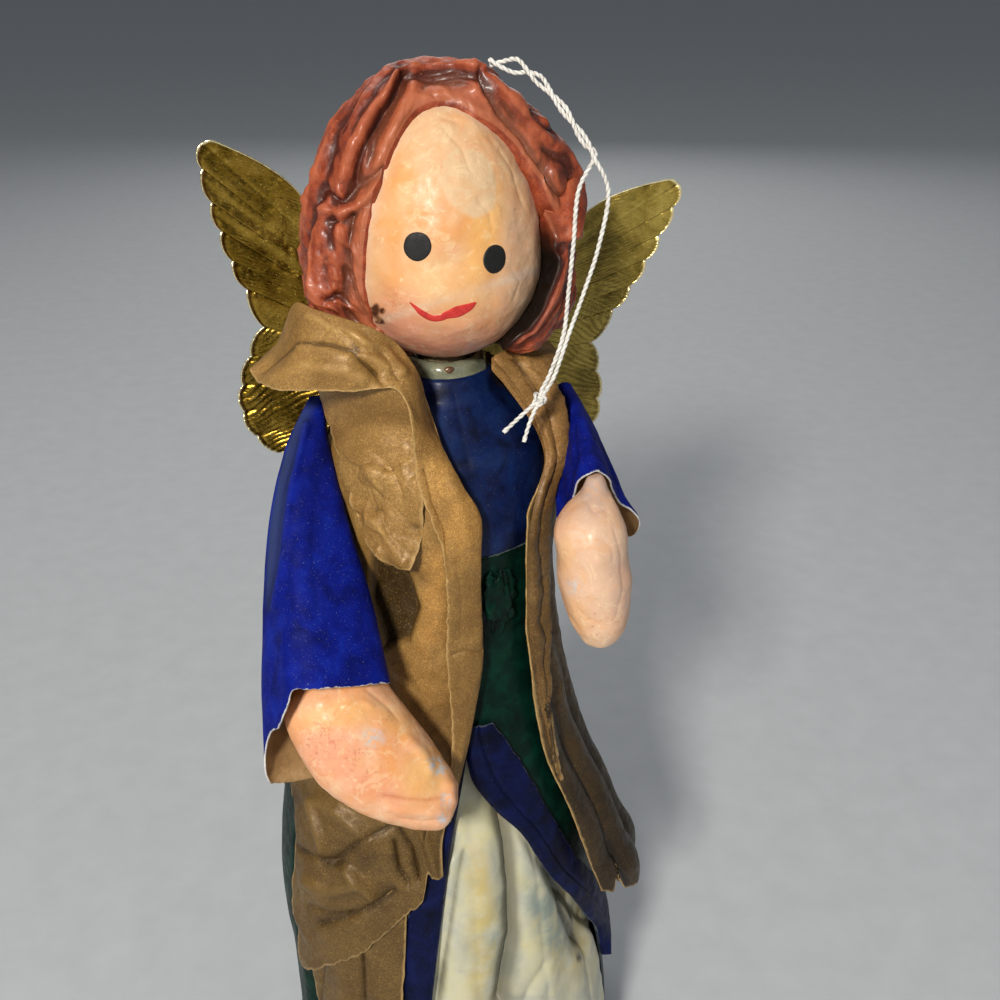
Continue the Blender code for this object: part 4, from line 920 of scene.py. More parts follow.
disp += carve(P0, N0, [
    ("crease", [(408, 66), (403, 86), (395, 98), (383, 112), (373, 130), (364, 146), (357, 165), (355, 181)], 3.2, -2.6),
    ("line", [(398, 66), (388, 88), (374, 108), (362, 130), (350, 150), (344, 176)], 6, 1.1),
    ("line", [(418, 66), (412, 92), (398, 116), (384, 140), (376, 165)], 6, 0.8),
    ("crease", [(322, 187), (332, 199), (343, 202), (355, 188), (372, 178), (383, 168)], 3.0, -1.9),
    ("line", [(320, 208), (340, 214), (358, 206), (380, 186)], 4.5, 1.1),
    ("crease", [(326, 221), (342, 223), (354, 215), (378, 197)], 2.6, -1.2),
    ("crease", [(353, 216), (349, 240), (351, 272), (355, 293), (366, 316), (376, 328)], 2.6, -1.6),
    ("line", [(340, 225), (336, 255), (338, 285)], 7, 0.8),
    ("crease", [(482, 64), (488, 95), (503, 118), (522, 141), (534, 166), (548, 194), (556, 214)], 2.8, -1.7),
    ("line", [(496, 78), (512, 100), (530, 122), (545, 150)], 6, 0.9),
    ("crease", [(528, 92), (530, 112), (540, 128), (560, 142), (570, 140)], 2.6, -1.4),
    ("crease", [(540, 150), (556, 164), (566, 186), (570, 200)], 2.6, -1.3),
    ("line", [(545, 120), (560, 130)], 7, 1.0),
    ("step", [(545, 236), (556, 246), (568, 240)], 10, -0.9),
    ("line", [(556, 262), (550, 296), (530, 326)], 9, 1.2),
    ("crease", [(408, 70), (430, 74), (455, 73), (478, 76)], 3.0, -1.2),
    ("line", [(405, 59), (430, 60), (460, 61), (486, 64)], 4, 0.8),
    ("crease", [(424, 86), (430, 80), (452, 80), (470, 84)], 2.2, -0.8),
    ("crease", [(428, 92), (436, 98), (446, 101)], 2.0, -0.6),
    ("line", [(327, 300), (334, 297)], 4, -1.4),
])
disp = np.clip(disp, -3.0, 2.8)
P = P0 + N0 * (disp + swell - 1.0 * step(304, 309, P0[..., 2]))[..., None]
P = hc + (P - hc) * np.maximum(1.0, 1.016 / egg_scale(P))[..., None]
# the front edge turns in to the head
E = P[0]
I = hc + (P0[0] - hc) * (0.96 / egg_scale(P0[0]))[:, None]
to_face = unit(P[0] - P[5])
I = lerp(I, on_egg(edge_al + 15, be, 0.985), gap[0][:, None])
C = (E + I) / 2 + to_face * lerp(0.9, 0.0, gap[0])[:, None] + N0[0] * lerp(0.5, -0.6, gap[0])[:, None]
tt = np.linspace(1, 0, 10)[:-1, None, None]
roll = E * (1 - tt) ** 2 + C * 2 * tt * (1 - tt) + I * tt ** 2
allP = np.concatenate([roll, P])
crease = np.clip((disp - blur(disp, 25)) / 0.7, -1.4, 1.4) * 0.85 + np.clip(disp / 2.6, -0.6, 0.5) - 0.4 * np.exp(-(q / 1.2) ** 2) * gap
# the rolled edge in the gap beside the right lock gets painted shadow through dent and the shade mask
dent = np.concatenate([lerp(np.clip(-0.9 * np.abs(tt[:, :, 0]) + 0.45, -1, 1), np.clip(-4.0 * tt[:, :, 0], -1.3, 0), gap), crease])
pale = np.concatenate([np.zeros((9, len(be))), 0.55 * np.exp(-(q / 3.4) ** 2) * (1 - gap)])
painted_shade = np.concatenate([np.broadcast_to(gap, (9, len(be))), 0.9 * np.exp(-(q / 1.6) ** 2) * gap])
if np.sum(normals(allP) * (allP - HOOD)) < 0:
    allP, dent, pale, painted_shade = allP[:, ::-1], dent[:, ::-1], pale[:, ::-1], painted_shade[:, ::-1]
hair = skin("hair_hood", np.ascontiguousarray(allP), [HAIR], {"dent": dent, "pale": pale, "painted_shade": painted_shade})
place(hair, "doll", "hair", "hair_back", "hair_right_lock", "hair_left_lock")

# ------------------------------------------------------------------ neck ring and bodice
ring = [(6.1, 242.2), (7.6, 243.6), (9.0, 243.6), (10.1, 242.6), (10.6, 240.8), (10.9, 239.0), (11.3, 237.4), (10.6, 236.3), (8.8, 236.2)]
prof, _ = spline([V3(r, 0, z) for r, z in ring], 40)
lon = np.linspace(-180, 180, 161)[:-1]
P = polar(lon[None] + 0 * prof[:, :1], prof[:, :1], prof[:, 2:])
P = P * (1 + 0.022 * fbm(P, 6, 3, 5)[..., None] * np.array([1, 1, 0.0])) + 0.22 * fbm(P, 2.6, 2, 6)[..., None] * np.array([0, 0, 1.0])
if np.sum(normals(P, True) * (P * np.array([1, 1, 0.0]))) < 0:
    P = P[:, ::-1]
place(skin("neck_glue_ring", np.ascontiguousarray(P), [GLAZE], wrap=True), "doll", "neck_paint", "neck_ring")
A, R = np.meshgrid(np.linspace(0, 2 * np.pi, 33)[:-1], np.linspace(0.02, 1, 9))
sp = polar(-1.0 + 7.0 * R * np.cos(A) * (1 + 0.2 * np.sin(3 * A)), 9.9 + 0.7 * np.sqrt(np.clip(1 - R ** 2, 0, 1)), 242.3 + 1.0 * R * np.sin(A))
if np.sum(normals(sp, True) * (sp * np.array([1, 1, 0.0]))) < 0:
    sp = sp[:, ::-1]
place(skin("neck_glue_drop", np.ascontiguousarray(sp), [CHIP_BROWN], wrap=True), "doll", "neck_paint")

z = np.concatenate([np.linspace(240.6, 230, 24), np.linspace(230, 199.8, 64)[1:], [199.3, 199.0]])
r = curve(z, [(199.0, 24.6), (200.2, 25.9), (208, 26.5), (222, 24.8), (230.4, 18), (235.4, 13.2), (239.0, 11.9), (240.3, 11.2), (240.6, 10.4)])
P = polar(np.linspace(-180, 180, 281)[:-1][None] + 0 * z[:, None], r[:, None], z[:, None])
N = unit(P * np.array([1, 1, 0.25]))
S = np.stack([np.degrees(np.arctan2(P[..., 0], -P[..., 1])) * 0.45, P[..., 2]], axis=-1)
d = 0.22 * crumple(S, 15, 14) + 0.12 * fbm(P, 4, 3, 3) - 0.1
d += carve(P, N, [("crease", [(538, 405), (545, 418), (541, 432)], 2, -0.6), ("crease", [(548, 402), (553, 416), (550, 436)], 2, -0.6),
                  ("line", [(543, 404), (549, 420), (546, 436)], 3, 0.7), ("crease", [(530, 424), (544, 426), (556, 420)], 1.6, -0.5),
                  ("crease", [(452, 385), (470, 470), (484, 540)], 4, -0.25), ("line", [(500, 390), (512, 470), (512, 540)], 10, 0.3)])
P = P + N * d[..., None]
if np.sum(normals(P, True) * N) < 0:
    P, d = P[:, ::-1], d[:, ::-1]
place(skin("bodice_wrap", np.ascontiguousarray(P), [NAVY], {"dent": d * 1.5, "edge": np.full(d.shape, 9.0)}, wrap=True), "doll", "bodice_blue", "bodice")

# ------------------------------------------------------------------ skirts
# how far the skirts and coat stand out over the doll's right hip, and the coat's left front at its hem
HIP = [(30, -0.8), (64, 3.4), (77, 6.2), (93, 8.4), (108, 9.2), (121, 9.0), (135, 5.8), (150, 2.0), (165, 0.0)]
SWING = [(70, 8.6), (90, 10.0), (99, 7.4), (112, 4.2), (129, -0.4), (141, -2.4), (165, -2.8), (205, -2.8), (226, 0.0)]
nu, nv = 420, 130
deg = np.linspace(-180, 180, nu + 1)[:-1][None]
z = np.linspace(0.6, 150, nv)[:, None]
across = step(-50, -34, deg) * step(94, 78, deg)
wave = np.abs(np.sin(np.radians((deg + 26 + 5 * noise1(deg, 30, 4)) * 180 / 27))) ** 0.8
open_v = step(0, 6, deg - curve(z, OVER_R)) * step(0, 6, curve(z, OVER_L) - deg)
puff = open_v * step(134, 98, z) * (2.2 + 0.9 * wave)
rad = body_r(z) - 4.0 + 0.5 + across * wave * 0.9 * (1 - 0.5 * z / 150) + puff * 0.9
P = polar(deg + 0 * z, rad, z + 0 * deg)
N = unit(P * np.array([1, 1, 0.0]) + V3(0, 0, 4))
S = np.stack([np.radians(deg + 0 * z) * 42, z + 0 * deg], axis=-1)
d = 0.55 * crumple(S, 10, 41) * (0.4 + 0.6 * across) + 0.12 * fbm(P, 3, 3, 5)
d += carve(P, N, [("crease", [(494, 770), (503, 815), (508, 850), (511, 884), (513, 935), (506, 970), (500, 1000)], 8, -4.6),
                  ("line", [(530, 830), (534, 880), (541, 930), (544, 1000)], 17, 2.0),
                  ("crease", [(536, 840), (552, 870), (564, 905), (578, 941)], 6, -3.4),
                  ("line", [(484, 850), (482, 920), (470, 1000)], 17, 1.8),
                  ("line", [(452, 862), (440, 925), (426, 1000)], 5, 1.4),
                  ("crease", [(464, 850), (456, 890), (448, 940), (438, 1000)], 3.6, -1.5),
                  ("line", [(580, 960), (584, 1000)], 12, 1.4),
                  ("crease", [(541, 960), (530, 985), (524, 1000)], 3, -1.0),
                  ("crease", [(455, 972), (466, 970), (476, 972)], 1.6, -0.5)])
P = P + N * d[..., None]
Q, F = to_px(P), facing(P, N)
# dent paints shade into the fold valleys; the blue ovals follow the valleys and are stain and painted shade together
att = {"dent": np.clip((d - 0.3) / 2.0, -1.2, 1.0) * np.ones_like(d),
       "yellow": np.clip(F * (oval(Q, 484, 950, 16, 60, 0, 0.8) + oval(Q, 565, 935, 22, 40, -20, 0.8) + 0.7 * oval(Q, 476, 870, 12, 30, 0, .6)) + 0.25 * (fbm(P, 14, 2, 7) > 0.2), 0, 1),
       "blue": np.clip(F * (oval(Q, 502, 940, 10, 50, 0, 0.8) + oval(Q, 542, 905, 14, 40, -15, 0.8) + oval(Q, 556, 930, 14, 24, -20, 0.8)) + 0.2 * (fbm(P, 11, 2, 17) > 0.25), 0, 1),
       "chip": F * np.clip(oval(Q, 578, 957.5, 2.6, 3.4, 0, 0.3), 0, 1), "edge": np.full(d.shape, 9.0)}
obj = paper("underskirt_folds", P, [WHITE, KRAFT, TORN], 0.5, att, wrap=True)
place(obj, "doll", "underskirt_white", "underskirt")


def jag(x, seed, big=1.0, small=0.5):
    return big * noise1(x, 5.5, seed) + small * noise1(x, 1.3, seed + 3)


OVER_LV = [(0, 75), (60, 68), (74, 57), (86, 48), (102, 34), (119, 22), (130, 9), (140, 0), (150, -2), (160, 4), (200, 5.5)]
TURN_LV = [(49, 69.8), (52, 72), (58, 76.5), (68, 78), (98, 53), (123, 36), (142, 23), (155, 11)]
U, V = uv(360, 190)
z = lerp(1.0, WAIST_Z + 0.5, V)
deg = lerp(curve(z, OVER_LV) + 0.5 * noise1(z, 4, 2), 360 + curve(z, OVER_R) + 0.5 * noise1(z, 4, 5), U)
S = np.stack([np.radians(deg) * 38, z], axis=-1)
gather = np.abs(np.sin(np.radians(deg * 5.2 + 26 * noise1(deg, 40, 8)))) ** 0.8 - 0.6
d = 0.25 * crumple(S, 18, 71) + 0.35 * gather * step(120, 185, z) + 0.5 * gather * step(70, 10, z) * 0.6
d = np.clip(d, -0.6, 0.38)
r = body_r(z) - 0.35 + d
r += 0.5 * step(3, 0, z) + (np.maximum(curve(z, HIP), -0.5) + 3.2 * step(140, 118, z)) * step(226, 262, deg) * step(300, 287, deg)
obj = paper("overskirt_paper", polar(deg, r, z), [GREEN, TURN, TORN_DARK], 0.4, {"dent": d * 2.2})
place(obj, "doll", "overskirt_green", "overskirt")

U, V = uv(60, 190)
z = lerp(5, 147, V)
deg = lerp(curve(z, TURN_R) + 0.7 * noise1(z, 5, 21), curve(z, OVER_R) + 0.4, U)
S = np.stack([np.radians(deg) * 42, z], axis=-1)
d = 0.22 * crumple(S, 13, 15) + 0.25 * np.sin(np.pi * U) * (0.6 + 0.4 * noise1(z, 14, 6))
r = body_r(z) + 0.85 + d - 0.9 * step(0.86, 1.0, U) + 0.2 * step(0.2, 0.0, U)
obj = paper("overskirt_right_turnback_paper", polar(deg, r, z), [TURN, GREEN, TORN_DARK], 0.38, {"dent": d * 2})
place(obj, "doll", "turnback_blue", "overskirt_right_turnback")

U, V = uv(80, 190)
z = lerp(49, 154, V)
deg = lerp(curve(z, OVER_LV) - 0.3, curve(z, TURN_LV) + 0.9 * noise1(z, 5, 31), U)
S = np.stack([np.radians(deg) * 40, z], axis=-1)
stand = step(100, 60, z) * U ** 1.3
d = 0.25 * crumple(S, 12, 25) + 0.45 * np.sin(np.pi * U) + 2.4 * stand - 0.45 * np.exp(-((U - 0.42) / 0.05) ** 2) * step(60, 80, z)
r = body_r(z) + 1.05 + d - 0.9 * step(0.14, 0.0, U)
obj = paper("overskirt_left_turnback_paper", polar(deg, r, z), [TURN, GREEN, TORN_DARK], 0.38, {"dent": np.clip(d - 0.4, -1, 1)})
place(obj, "doll", "turnback_blue", "overskirt_left_turnback")

# crumpled waist knot
A, B = np.meshgrid(np.linspace(0, 2 * np.pi, 97)[:-1], np.linspace(-1.5, 1.5, 70))
D = np.stack([np.cos(B) * np.cos(A), np.cos(B) * np.sin(A), np.sin(B)], axis=-1)
at = polar(18.5, body_r(186.0) - 0.1, 186.5)
ko = polar(19.5, 1.0, 0.0)
ks = V3(-ko[1], ko[0], 0)
k = 1 + 0.16 * fbm(D * 4, 2.6, 3, 4) - 0.26 * np.abs(facets(np.stack([A * 4, B * 5], axis=-1), 2.6, 3)) + 0.10 * facets(np.stack([A * 4, B * 5], axis=-1), 1.3, 6)
P = at + ks * (5.4 * D[..., 0] * k)[..., None] + ko * (2.3 * D[..., 1] * k)[..., None] + V3(0, 0, 1) * (10.0 * D[..., 2] * k)[..., None]
if np.sum(normals(P, True) * (P - at)) < 0:
    P, k = P[:, ::-1], k[:, ::-1]
place(skin("waist_knot_crumple", np.ascontiguousarray(P), [GREEN], {"dent": (k - 1) * 5, "edge": np.full(k.shape, 9.0)}, wrap=True), "doll", "overskirt_green", "waist_knot")

# ------------------------------------------------------------------ coat
COAT_MATS = [GOLD, KRAFT, TORN_GOLD]


def finish_coat(name, P, ops, size, amp, seed, node, mats=COAT_MATS, lo=-0.7, hi=1.3, lit=None, hollow=None, groove=0.0, thick=0.42, body="doll"):
    N = normals(P)
    if np.sum(N * (P * np.array([1, 1, 0.0]))) < 0:
        N = -N
    deg = np.degrees(np.unwrap(np.arctan2(P[..., 0], -P[..., 1]), axis=1))
    S = np.stack([np.radians(deg) * 36, P[..., 2]], axis=-1)
    d = amp * crumple(S, size, seed) + 0.10 * fbm(S, 2.6, 2, seed)
    e = edge_mm(P)
    d = d + 0.5 * noise1(S[..., 0] + S[..., 1] * 1.3, 9, seed) * np.exp(-e / 3.5)
    d = np.clip(d, lo, hi)
    c = carve(P, N, ops) * (1 + 0.7 * step(150, 118, P[..., 2])) if ops else 0.0
    Q, F = to_px(P), facing(P, N)
    # dent and groove paint shade into creases and pleat valleys and highlight onto ridges; the shade mask paints the
    # coat darker below z 164 and inside the hollow outlines
    att = {"dent": np.clip((d + c * 0.55) * 1.3 + groove, -1.3, 1.3), "edge": e, "painted_shade": 0.92 * step(164, 120, P[..., 2])}
    if hollow:
        att["painted_shade"] = np.maximum(att["painted_shade"], F * sum(inside(Q, poly, 7) for poly in hollow))
    if lit:
        att["lit"] = F * np.clip(sum(inside(Q, poly, 16) for poly in lit), 0, 1) * np.clip(0.6 + 0.9 * fbm(P, 6, 3, 8), 0, 1)
    obj = paper(name, P + N * (d + c)[..., None], mats, thick, att)
    return place(obj, body, "coat_gold", node)


def rows_up(v):
    return 1 - (1 - v) ** 1.35


# right front panel
HEM_TORN = [(-80, 58), (-66, 68), (-40, 88), (-26, 100.5), (-20.2, 105.5), (-18.4, 113.6), (-8, 114.5)]
U, V = uv(190, 220)
w, deg = rows_up(V), lerp(-SIDE_SEAM, -8, U)
for _ in range(4):
    z = lerp(curve(deg, HEM_TORN) + jag(deg * 0.8, 4, 1.2, 0.6), 239.4, w)
    deg = lerp(-curve(z, [(70, 69), (112, 71), (134, 99.4)]), curve(z, COAT_EDGE_R), U)
P = polar(deg, coat_r(z) + 0.4 + 0.95 * curve(z, HIP) * step(-22, -62, deg), z)
finish_coat("coat_right_front_paper", P, [
    ("area",[(372, 536), (384, 566), (407, 571), (420, 608), (410, 640), (384, 646), (368, 600)], 3, -2.2),
    ("crease", [(345, 425), (360, 458), (372, 490), (388, 530)], 4, -0.9),
    ("line", [(352, 420), (368, 470), (392, 540)], 6, 0.9),
    ("crease", [(378, 470), (392, 500), (402, 540)], 4, -0.8),
    ("crease", [(336, 690), (352, 735), (372, 790)], 4, -0.6),
    ("line", [(310, 800), (318, 830), (323, 850)], 4, 1.0),
    ("crease", [(334, 862), (360, 842), (392, 826)], 3, -1.0),
    ("line", [(345, 870), (360, 884), (372, 896)], 5, 1.2),
    ("crease", [(394, 842), (398, 868), (408, 884)], 3, -1.0),
    ("crease", [(320, 925), (345, 920), (370, 908), (395, 892)], 3, -1.0),
    ("line", [(318, 800), (340, 815), (366, 838)], 7, 1.0),
    ("crease", [(300, 850), (322, 862), (345, 866)], 3.5, -1.1),
    ("line", [(306, 880), (330, 890), (352, 886)], 7, 0.9),
    ("crease", [(400, 830), (412, 850), (418, 880)], 3, -1.0),
    ("line", [(424, 834), (432, 856), (438, 880)], 5, 0.8),
    ("crease", [(308, 905), (330, 915), (352, 914)], 3.5, -1.0),
], 17, 0.75 + 0.6 * step(146, 112, z), 2, "coat_right_front",
    lit=[[(421, 556), (448, 550), (449, 630), (424, 646)]],
    hollow=[[(372, 536), (384, 566), (407, 571), (420, 608), (410, 640), (384, 646), (368, 600)]])

# the layer under the torn hem
U, V = uv(120, 110)
deg = lerp(-66, -30 + 4 * V, U) + 0.5 * noise1(V * 50, 4, 3) * step(0.85, 1, U)
z = lerp(BACK_HEM + jag(deg, 7, 0.8, 0.4), curve(deg, HEM_R) + 13, V)
P = polar(deg, body_r(z) + 2.3 + 0.85 * curve(z, HIP) * step(-22, -62, deg), z)
finish_coat("coat_right_tail_paper", P, [("crease", [(362, 950), (364, 1000)], 2.5, -0.8), ("crease", [(324, 962), (320, 1000)], 2.5, -0.7),
            ("line", [(343, 955), (342, 1000)], 8, 0.5)], 15, 0.40, 12, "coat_right_tail", lo=-0.5, hi=0.5)

# left front panel with its deep folds
U, V = uv(120, 220)
w, deg = rows_up(V), lerp(60, SIDE_SEAM, U)
for _ in range(4):
    z = lerp(curve(deg, [(40, 97), (52, 90), (62, 84), (70, 81), (85, 80), (99, 76)]) + 7.0 * np.exp(-((deg - 60) / 1.8) ** 2) + jag(deg * 0.9, 14, 1.8, 0.9), 239.4, w)
    deg = lerp(curve(z, [(60, 66), (92, 52.5), (111, 47), (124, 43), (137, 37.5), (150, 35), (186, 34), (209, 33), (219, 46), (231, 58), (239, 66)]), SIDE_SEAM, U)
swing = curve(z, SWING) * curve(U, [(0, 0.3), (0.3, 1.0), (0.62, 0.95), (1, 0.4)])
fold = np.abs(np.sin(np.pi * (U * 3.1 + 0.2 + 0.10 * noise1(z, 34, 3) + 0.25 * step(150, 70, z)))) ** 0.7
pleats = (fold - 0.55) * (2.6 + 1.3 * noise1(z + 40 * U, 22, 11)) * step(224, 200, z) * step(0.0, 0.05, U) * step(1.0, 0.94, U)
P = polar(deg, np.maximum(coat_r(z) + 0.4 + swing + np.maximum(pleats, -1.3), body_r(z) + 1.0), z)
# groove paints shade into the pleat valleys
finish_coat("coat_left_front_paper", P, [], 15, 0.6, 6, "coat_left_front", mats=[GOLD_SHADED, KRAFT, TORN_GOLD], lo=-0.5, groove=np.minimum(0.0, (fold - 0.5) * 2.6) * step(224, 200, z))

# back panel
U, V = uv(230, 230)
z = lerp(BACK_HEM + 0 * U, 239.5, rows_up(V))
deg = lerp(SIDE_SEAM - 1.0 + 22 * step(92, 66, z), 360 - curve(z, VENT_BACK) + 2.2 * step(126, 140, z), U)
z = z + jag(deg * 0.8, 24, 1.0, 0.5) * (1 - V) ** 6
fold_b = np.abs(np.sin(np.radians(deg * 3.3 + 30 * noise1(deg, 50, 2) + 25 * noise1(z, 60, 7)))) ** 0.8 - 0.6
# furrow paints shade into the fold valleys
furrow = np.minimum(0.0, fold_b + 0.25) * 2.4 * step(205, 110, z)
fold_b = fold_b * (2.0 + 1.0 * noise1(z + 1.5 * deg, 40, 5)) * step(205, 70, z)
P = polar(deg, coat_r(z) + 0.4 + 0.55 * (step(0.025, 0.005, U) + step(0.975, 0.995, U)) + np.maximum(fold_b, -1.0) + 0.4 * curve(z, SWING) * step(150, 101, deg)
          + (curve(z, HIP) + 0.6) * step(208, 244, deg) * step(160, 120, z), z)
finish_coat("coat_back_paper", P, [], 17, 1.0, 9, "coat_back", groove=furrow)


# collar and lapels: one strip a side, folded over along the front edge and the collar's roll
def along_rows(ctrl, n):
    """Smooth rows through control rows, even in the control index."""
    c = np.array(ctrl, float)
    last = len(c) - 1
    c = np.concatenate([2 * c[:1] - c[1:2], c, 2 * c[-1:] - c[-2:-1]])
    x = np.linspace(0, last, n)
    i = np.clip(np.floor(x).astype(int), 0, last - 1)
    t = (x - i).reshape((-1,) + (1,) * (c.ndim - 1))
    a, b, d, e = c[i], c[i + 1], c[i + 2], c[i + 3]
    return 0.5 * (2 * b + (d - a) * t + (2 * a - 5 * b + 4 * d - e) * t ** 2 + (3 * b - a - 3 * d + e) * t ** 3)


def on_round(px, radius):
    """Where the camera's line through a pixel first meets the round of that radius at its height."""
    px = np.asarray(px, float)
    d = unit(FWD + RIGHT * ((px[..., 0:1] - 500) / F_PX) - UP * ((px[..., 1:2] - 500) / F_PX))
    a, b = d[..., 0] ** 2 + d[..., 1] ** 2, 2 * (CAM[0] * d[..., 0] + CAM[1] * d[..., 1])
    r = radius(np.full(px.shape[:-1], 215.0))
    for _ in range(9):
        disc = np.maximum(0.0, b * b - 4 * a * (CAM[0] ** 2 + CAM[1] ** 2 - r * r))
        P = CAM + d * ((-b - np.sqrt(disc)) / (2 * a))[..., None]
        r = radius(P[..., 2])
    return P


def at_px(x, y, r):
    return on_round((x, y), lambda z: np.asarray(r, float))


def on_plane(px, at, n):
    """Where the camera's lines through pixels meet a plane."""
    px = np.asarray(px, float)
    d = unit(FWD + RIGHT * ((px[..., 0:1] - 500) / F_PX) - UP * ((px[..., 1:2] - 500) / F_PX))
    return CAM + d * (np.dot(at - CAM, n) / (d @ n))[..., None]


def folded_strip(name, B, C, A, ns, nv, bulge, ops, size, amp, seed, nodes, mats, pleat=0.0, painted_shade=(0, 1, 0), lit=None):
    B, C, A, bulge = along_rows(B, ns), along_rows(C, ns), along_rows(A, ns), along_rows([[h] for h in bulge], ns)
    D = unit(C - B)
    run = np.concatenate([[0], np.cumsum(np.linalg.norm(np.diff(C, axis=0), axis=1))])
    C = C + D * (0.5 * noise1(run, 6, seed) + 0.25 * noise1(run, 1.6, seed + 2))[:, None]
    O = unit(B * np.array([1, 1, 0.0])) + V3(0, 0, 0.3)
    O = unit(O - D * np.sum(O * D, axis=1, keepdims=True))
    rows = [A, lerp(A, B, 0.7), B + O * 0.45, B + D * 1.5 + O * 1.15, lerp(B, C, 0.5) + O * (1.0 + bulge),
            lerp(B, C, 0.84) + O * (0.7 + 0.5 * bulge), C + O * 0.3]
    P = along_rows(rows, nv)
    v = np.linspace(0, 1, nv)[:, None]
    N = normals(P)
    if np.sum(N * O[None]) < 0:
        N = -N
    wide = np.linalg.norm(C - B, axis=1)[None]
    front = np.clip((v - 2 / 6) / (4 / 6), 0, 1)
    S = np.stack([run[None] + 0 * v, front * wide], axis=-1)
    d = amp * crumple(S, size, seed) * step(0.0, 0.25, front) + 0.06 * fbm(S, 1.8, 2, seed)
    d = d + pleat * (np.abs(np.sin(np.pi * (front * 1.6 + 0.15 * noise1(run, 40, seed)[None] + 0.32 * noise1(run, 18, seed + 4)[None] + 0.12 * noise1(run, 7, seed + 5)[None] + 0.25))) ** 0.7 - 0.6) * step(0.02, 0.2, front)
    d = d + (carve(P, N, ops) if ops else 0.0)
    att = {"dent": np.clip((d - blur(d, 15)) * 1.6 + 0.4 * d, -1.2, 1.2), "edge": (1 - front) * wide}
    # painted shade: the strip is darkened below the given height
    att["painted_shade"] = np.broadcast_to(step(painted_shade[0], painted_shade[1], P[..., 2]) * painted_shade[2], d.shape)
    if lit:
        att["lit"] = facing(P, N) * 0.7 * inside(to_px(P), lit, 14) * np.clip(0.6 + 0.9 * fbm(P, 7, 3, 8), 0, 1)
    obj = paper(name, P + N * d[..., None], mats, 0.42, att, out=np.broadcast_to(O[None], P.shape))
    return place(obj, "doll", "coat_gold", *nodes)


B, C, A = [], [], []
for zz, x, y in ((131, 443, 822), (142, 448, 783), (152, 451, 747), (162, 449, 711), (172, 447, 674), (181, 446, 642), (188, 446, 616),
                 (196, 445.5, 588), (205, 442, 556), (214, 431, 521), (222, 419, 487)):
    B.append(polar(curve(zz, COAT_EDGE_R) - 0.1, coat_r(zz) + 0.7, zz))
    C.append(at_px(x, y, coat_r(zz) + 3.1))
    A.append(polar(curve(zz, COAT_EDGE_R) - 4.0, coat_r(zz) + 0.2, zz))
for at, (x, y, r), low in (((-11.5, 24.4, 230), (411.5, 432, 31.4), 0.2), ((-19, 21.8, 236), (405, 403, 29.9), 0.5),
                           ((-25, 20.8, 244.5), (392, 389.5, 30.2), 0.9), ((-35, 22.5, 252), (365, 390, 32.5), 1),
                           ((-43, 27.0, 256.6), (335, 391, 36.0), 1), ((-58, 29.3, 258.0), (305, 391, 39.6), 1),
                           ((-70, 31.6, 258.4), (276, 389.5, 43.0), 1)):
    p = polar(*at)
    B.append(p)
    C.append(at_px(x, y, r))
    A.append(p - unit(p * np.array([1, 1, 0.0])) * 2.6 * low + V3(-1.0, 0, -11) * low)
for at, end in (((-86, 33.6, 257.4), (-84, 45.3, 242.0)), ((-98, 35.2, 248.5), (-90, 45.0, 242.4)), ((-120, 34.8, 245), (-112, 41.5, 242)),
                ((-136, 31.2, 244.5), (-134, 33.2, 241)), ((-150, 28.2, 244), (-150, 30.0, 240.5))):
    p = polar(*at)
    B.append(p)
    C.append(polar(*end))
    A.append(p - unit(p * np.array([1, 1, 0.0])) * 2.6 + V3(0, 0, -8))
folded_strip("coat_right_collar_lapel", B, C, A, 620, 90, [0.3] * 12 + [0.5, 1.0, 1.5, 1.6, 1.4, 0.8, -2.2, -0.6, 0.5, 0.3, 0.2], [
    ("line", [(300, 345), (335, 352), (370, 358), (388, 366)], 5, 0.7),
    ("crease", [(262, 372), (296, 343), (330, 345), (352, 352), (376, 374)], 4.0, -1.7), ("line", [(270, 384), (305, 366), (345, 370), (362, 378)], 9, 0.9),
    ("crease", [(372, 372), (378, 380), (384, 388)], 2.0, -0.8),
    ("line", [(310, 318), (345, 332), (384, 350), (402, 372)], 5, 0.8), ("crease", [(330, 322), (352, 340), (360, 352)], 3, -0.7), ("crease", [(366, 336), (384, 356), (398, 380)], 3, -0.6),
    ("line", [(452, 480), (462, 510), (468, 545)], 6, 0.5),
    ("crease", [(424, 470), (432, 505), (444, 530), (447, 580)], 3, -0.7),
    ("crease", [(452, 655), (465, 650), (480, 652)], 2.5, -0.7),
    ("crease", [(456, 560), (462, 600), (460, 640)], 4, -0.3),
], 15, 0.6, 22, ("coat_right_lapel", "coat_right_collar"), [GOLD, GOLD_BROWN, TORN_GOLD], painted_shade=(214, 196, 0.32),
    lit=[(412, 420), (440, 440), (470, 500), (476, 560), (452, 575), (436, 520), (424, 470)])

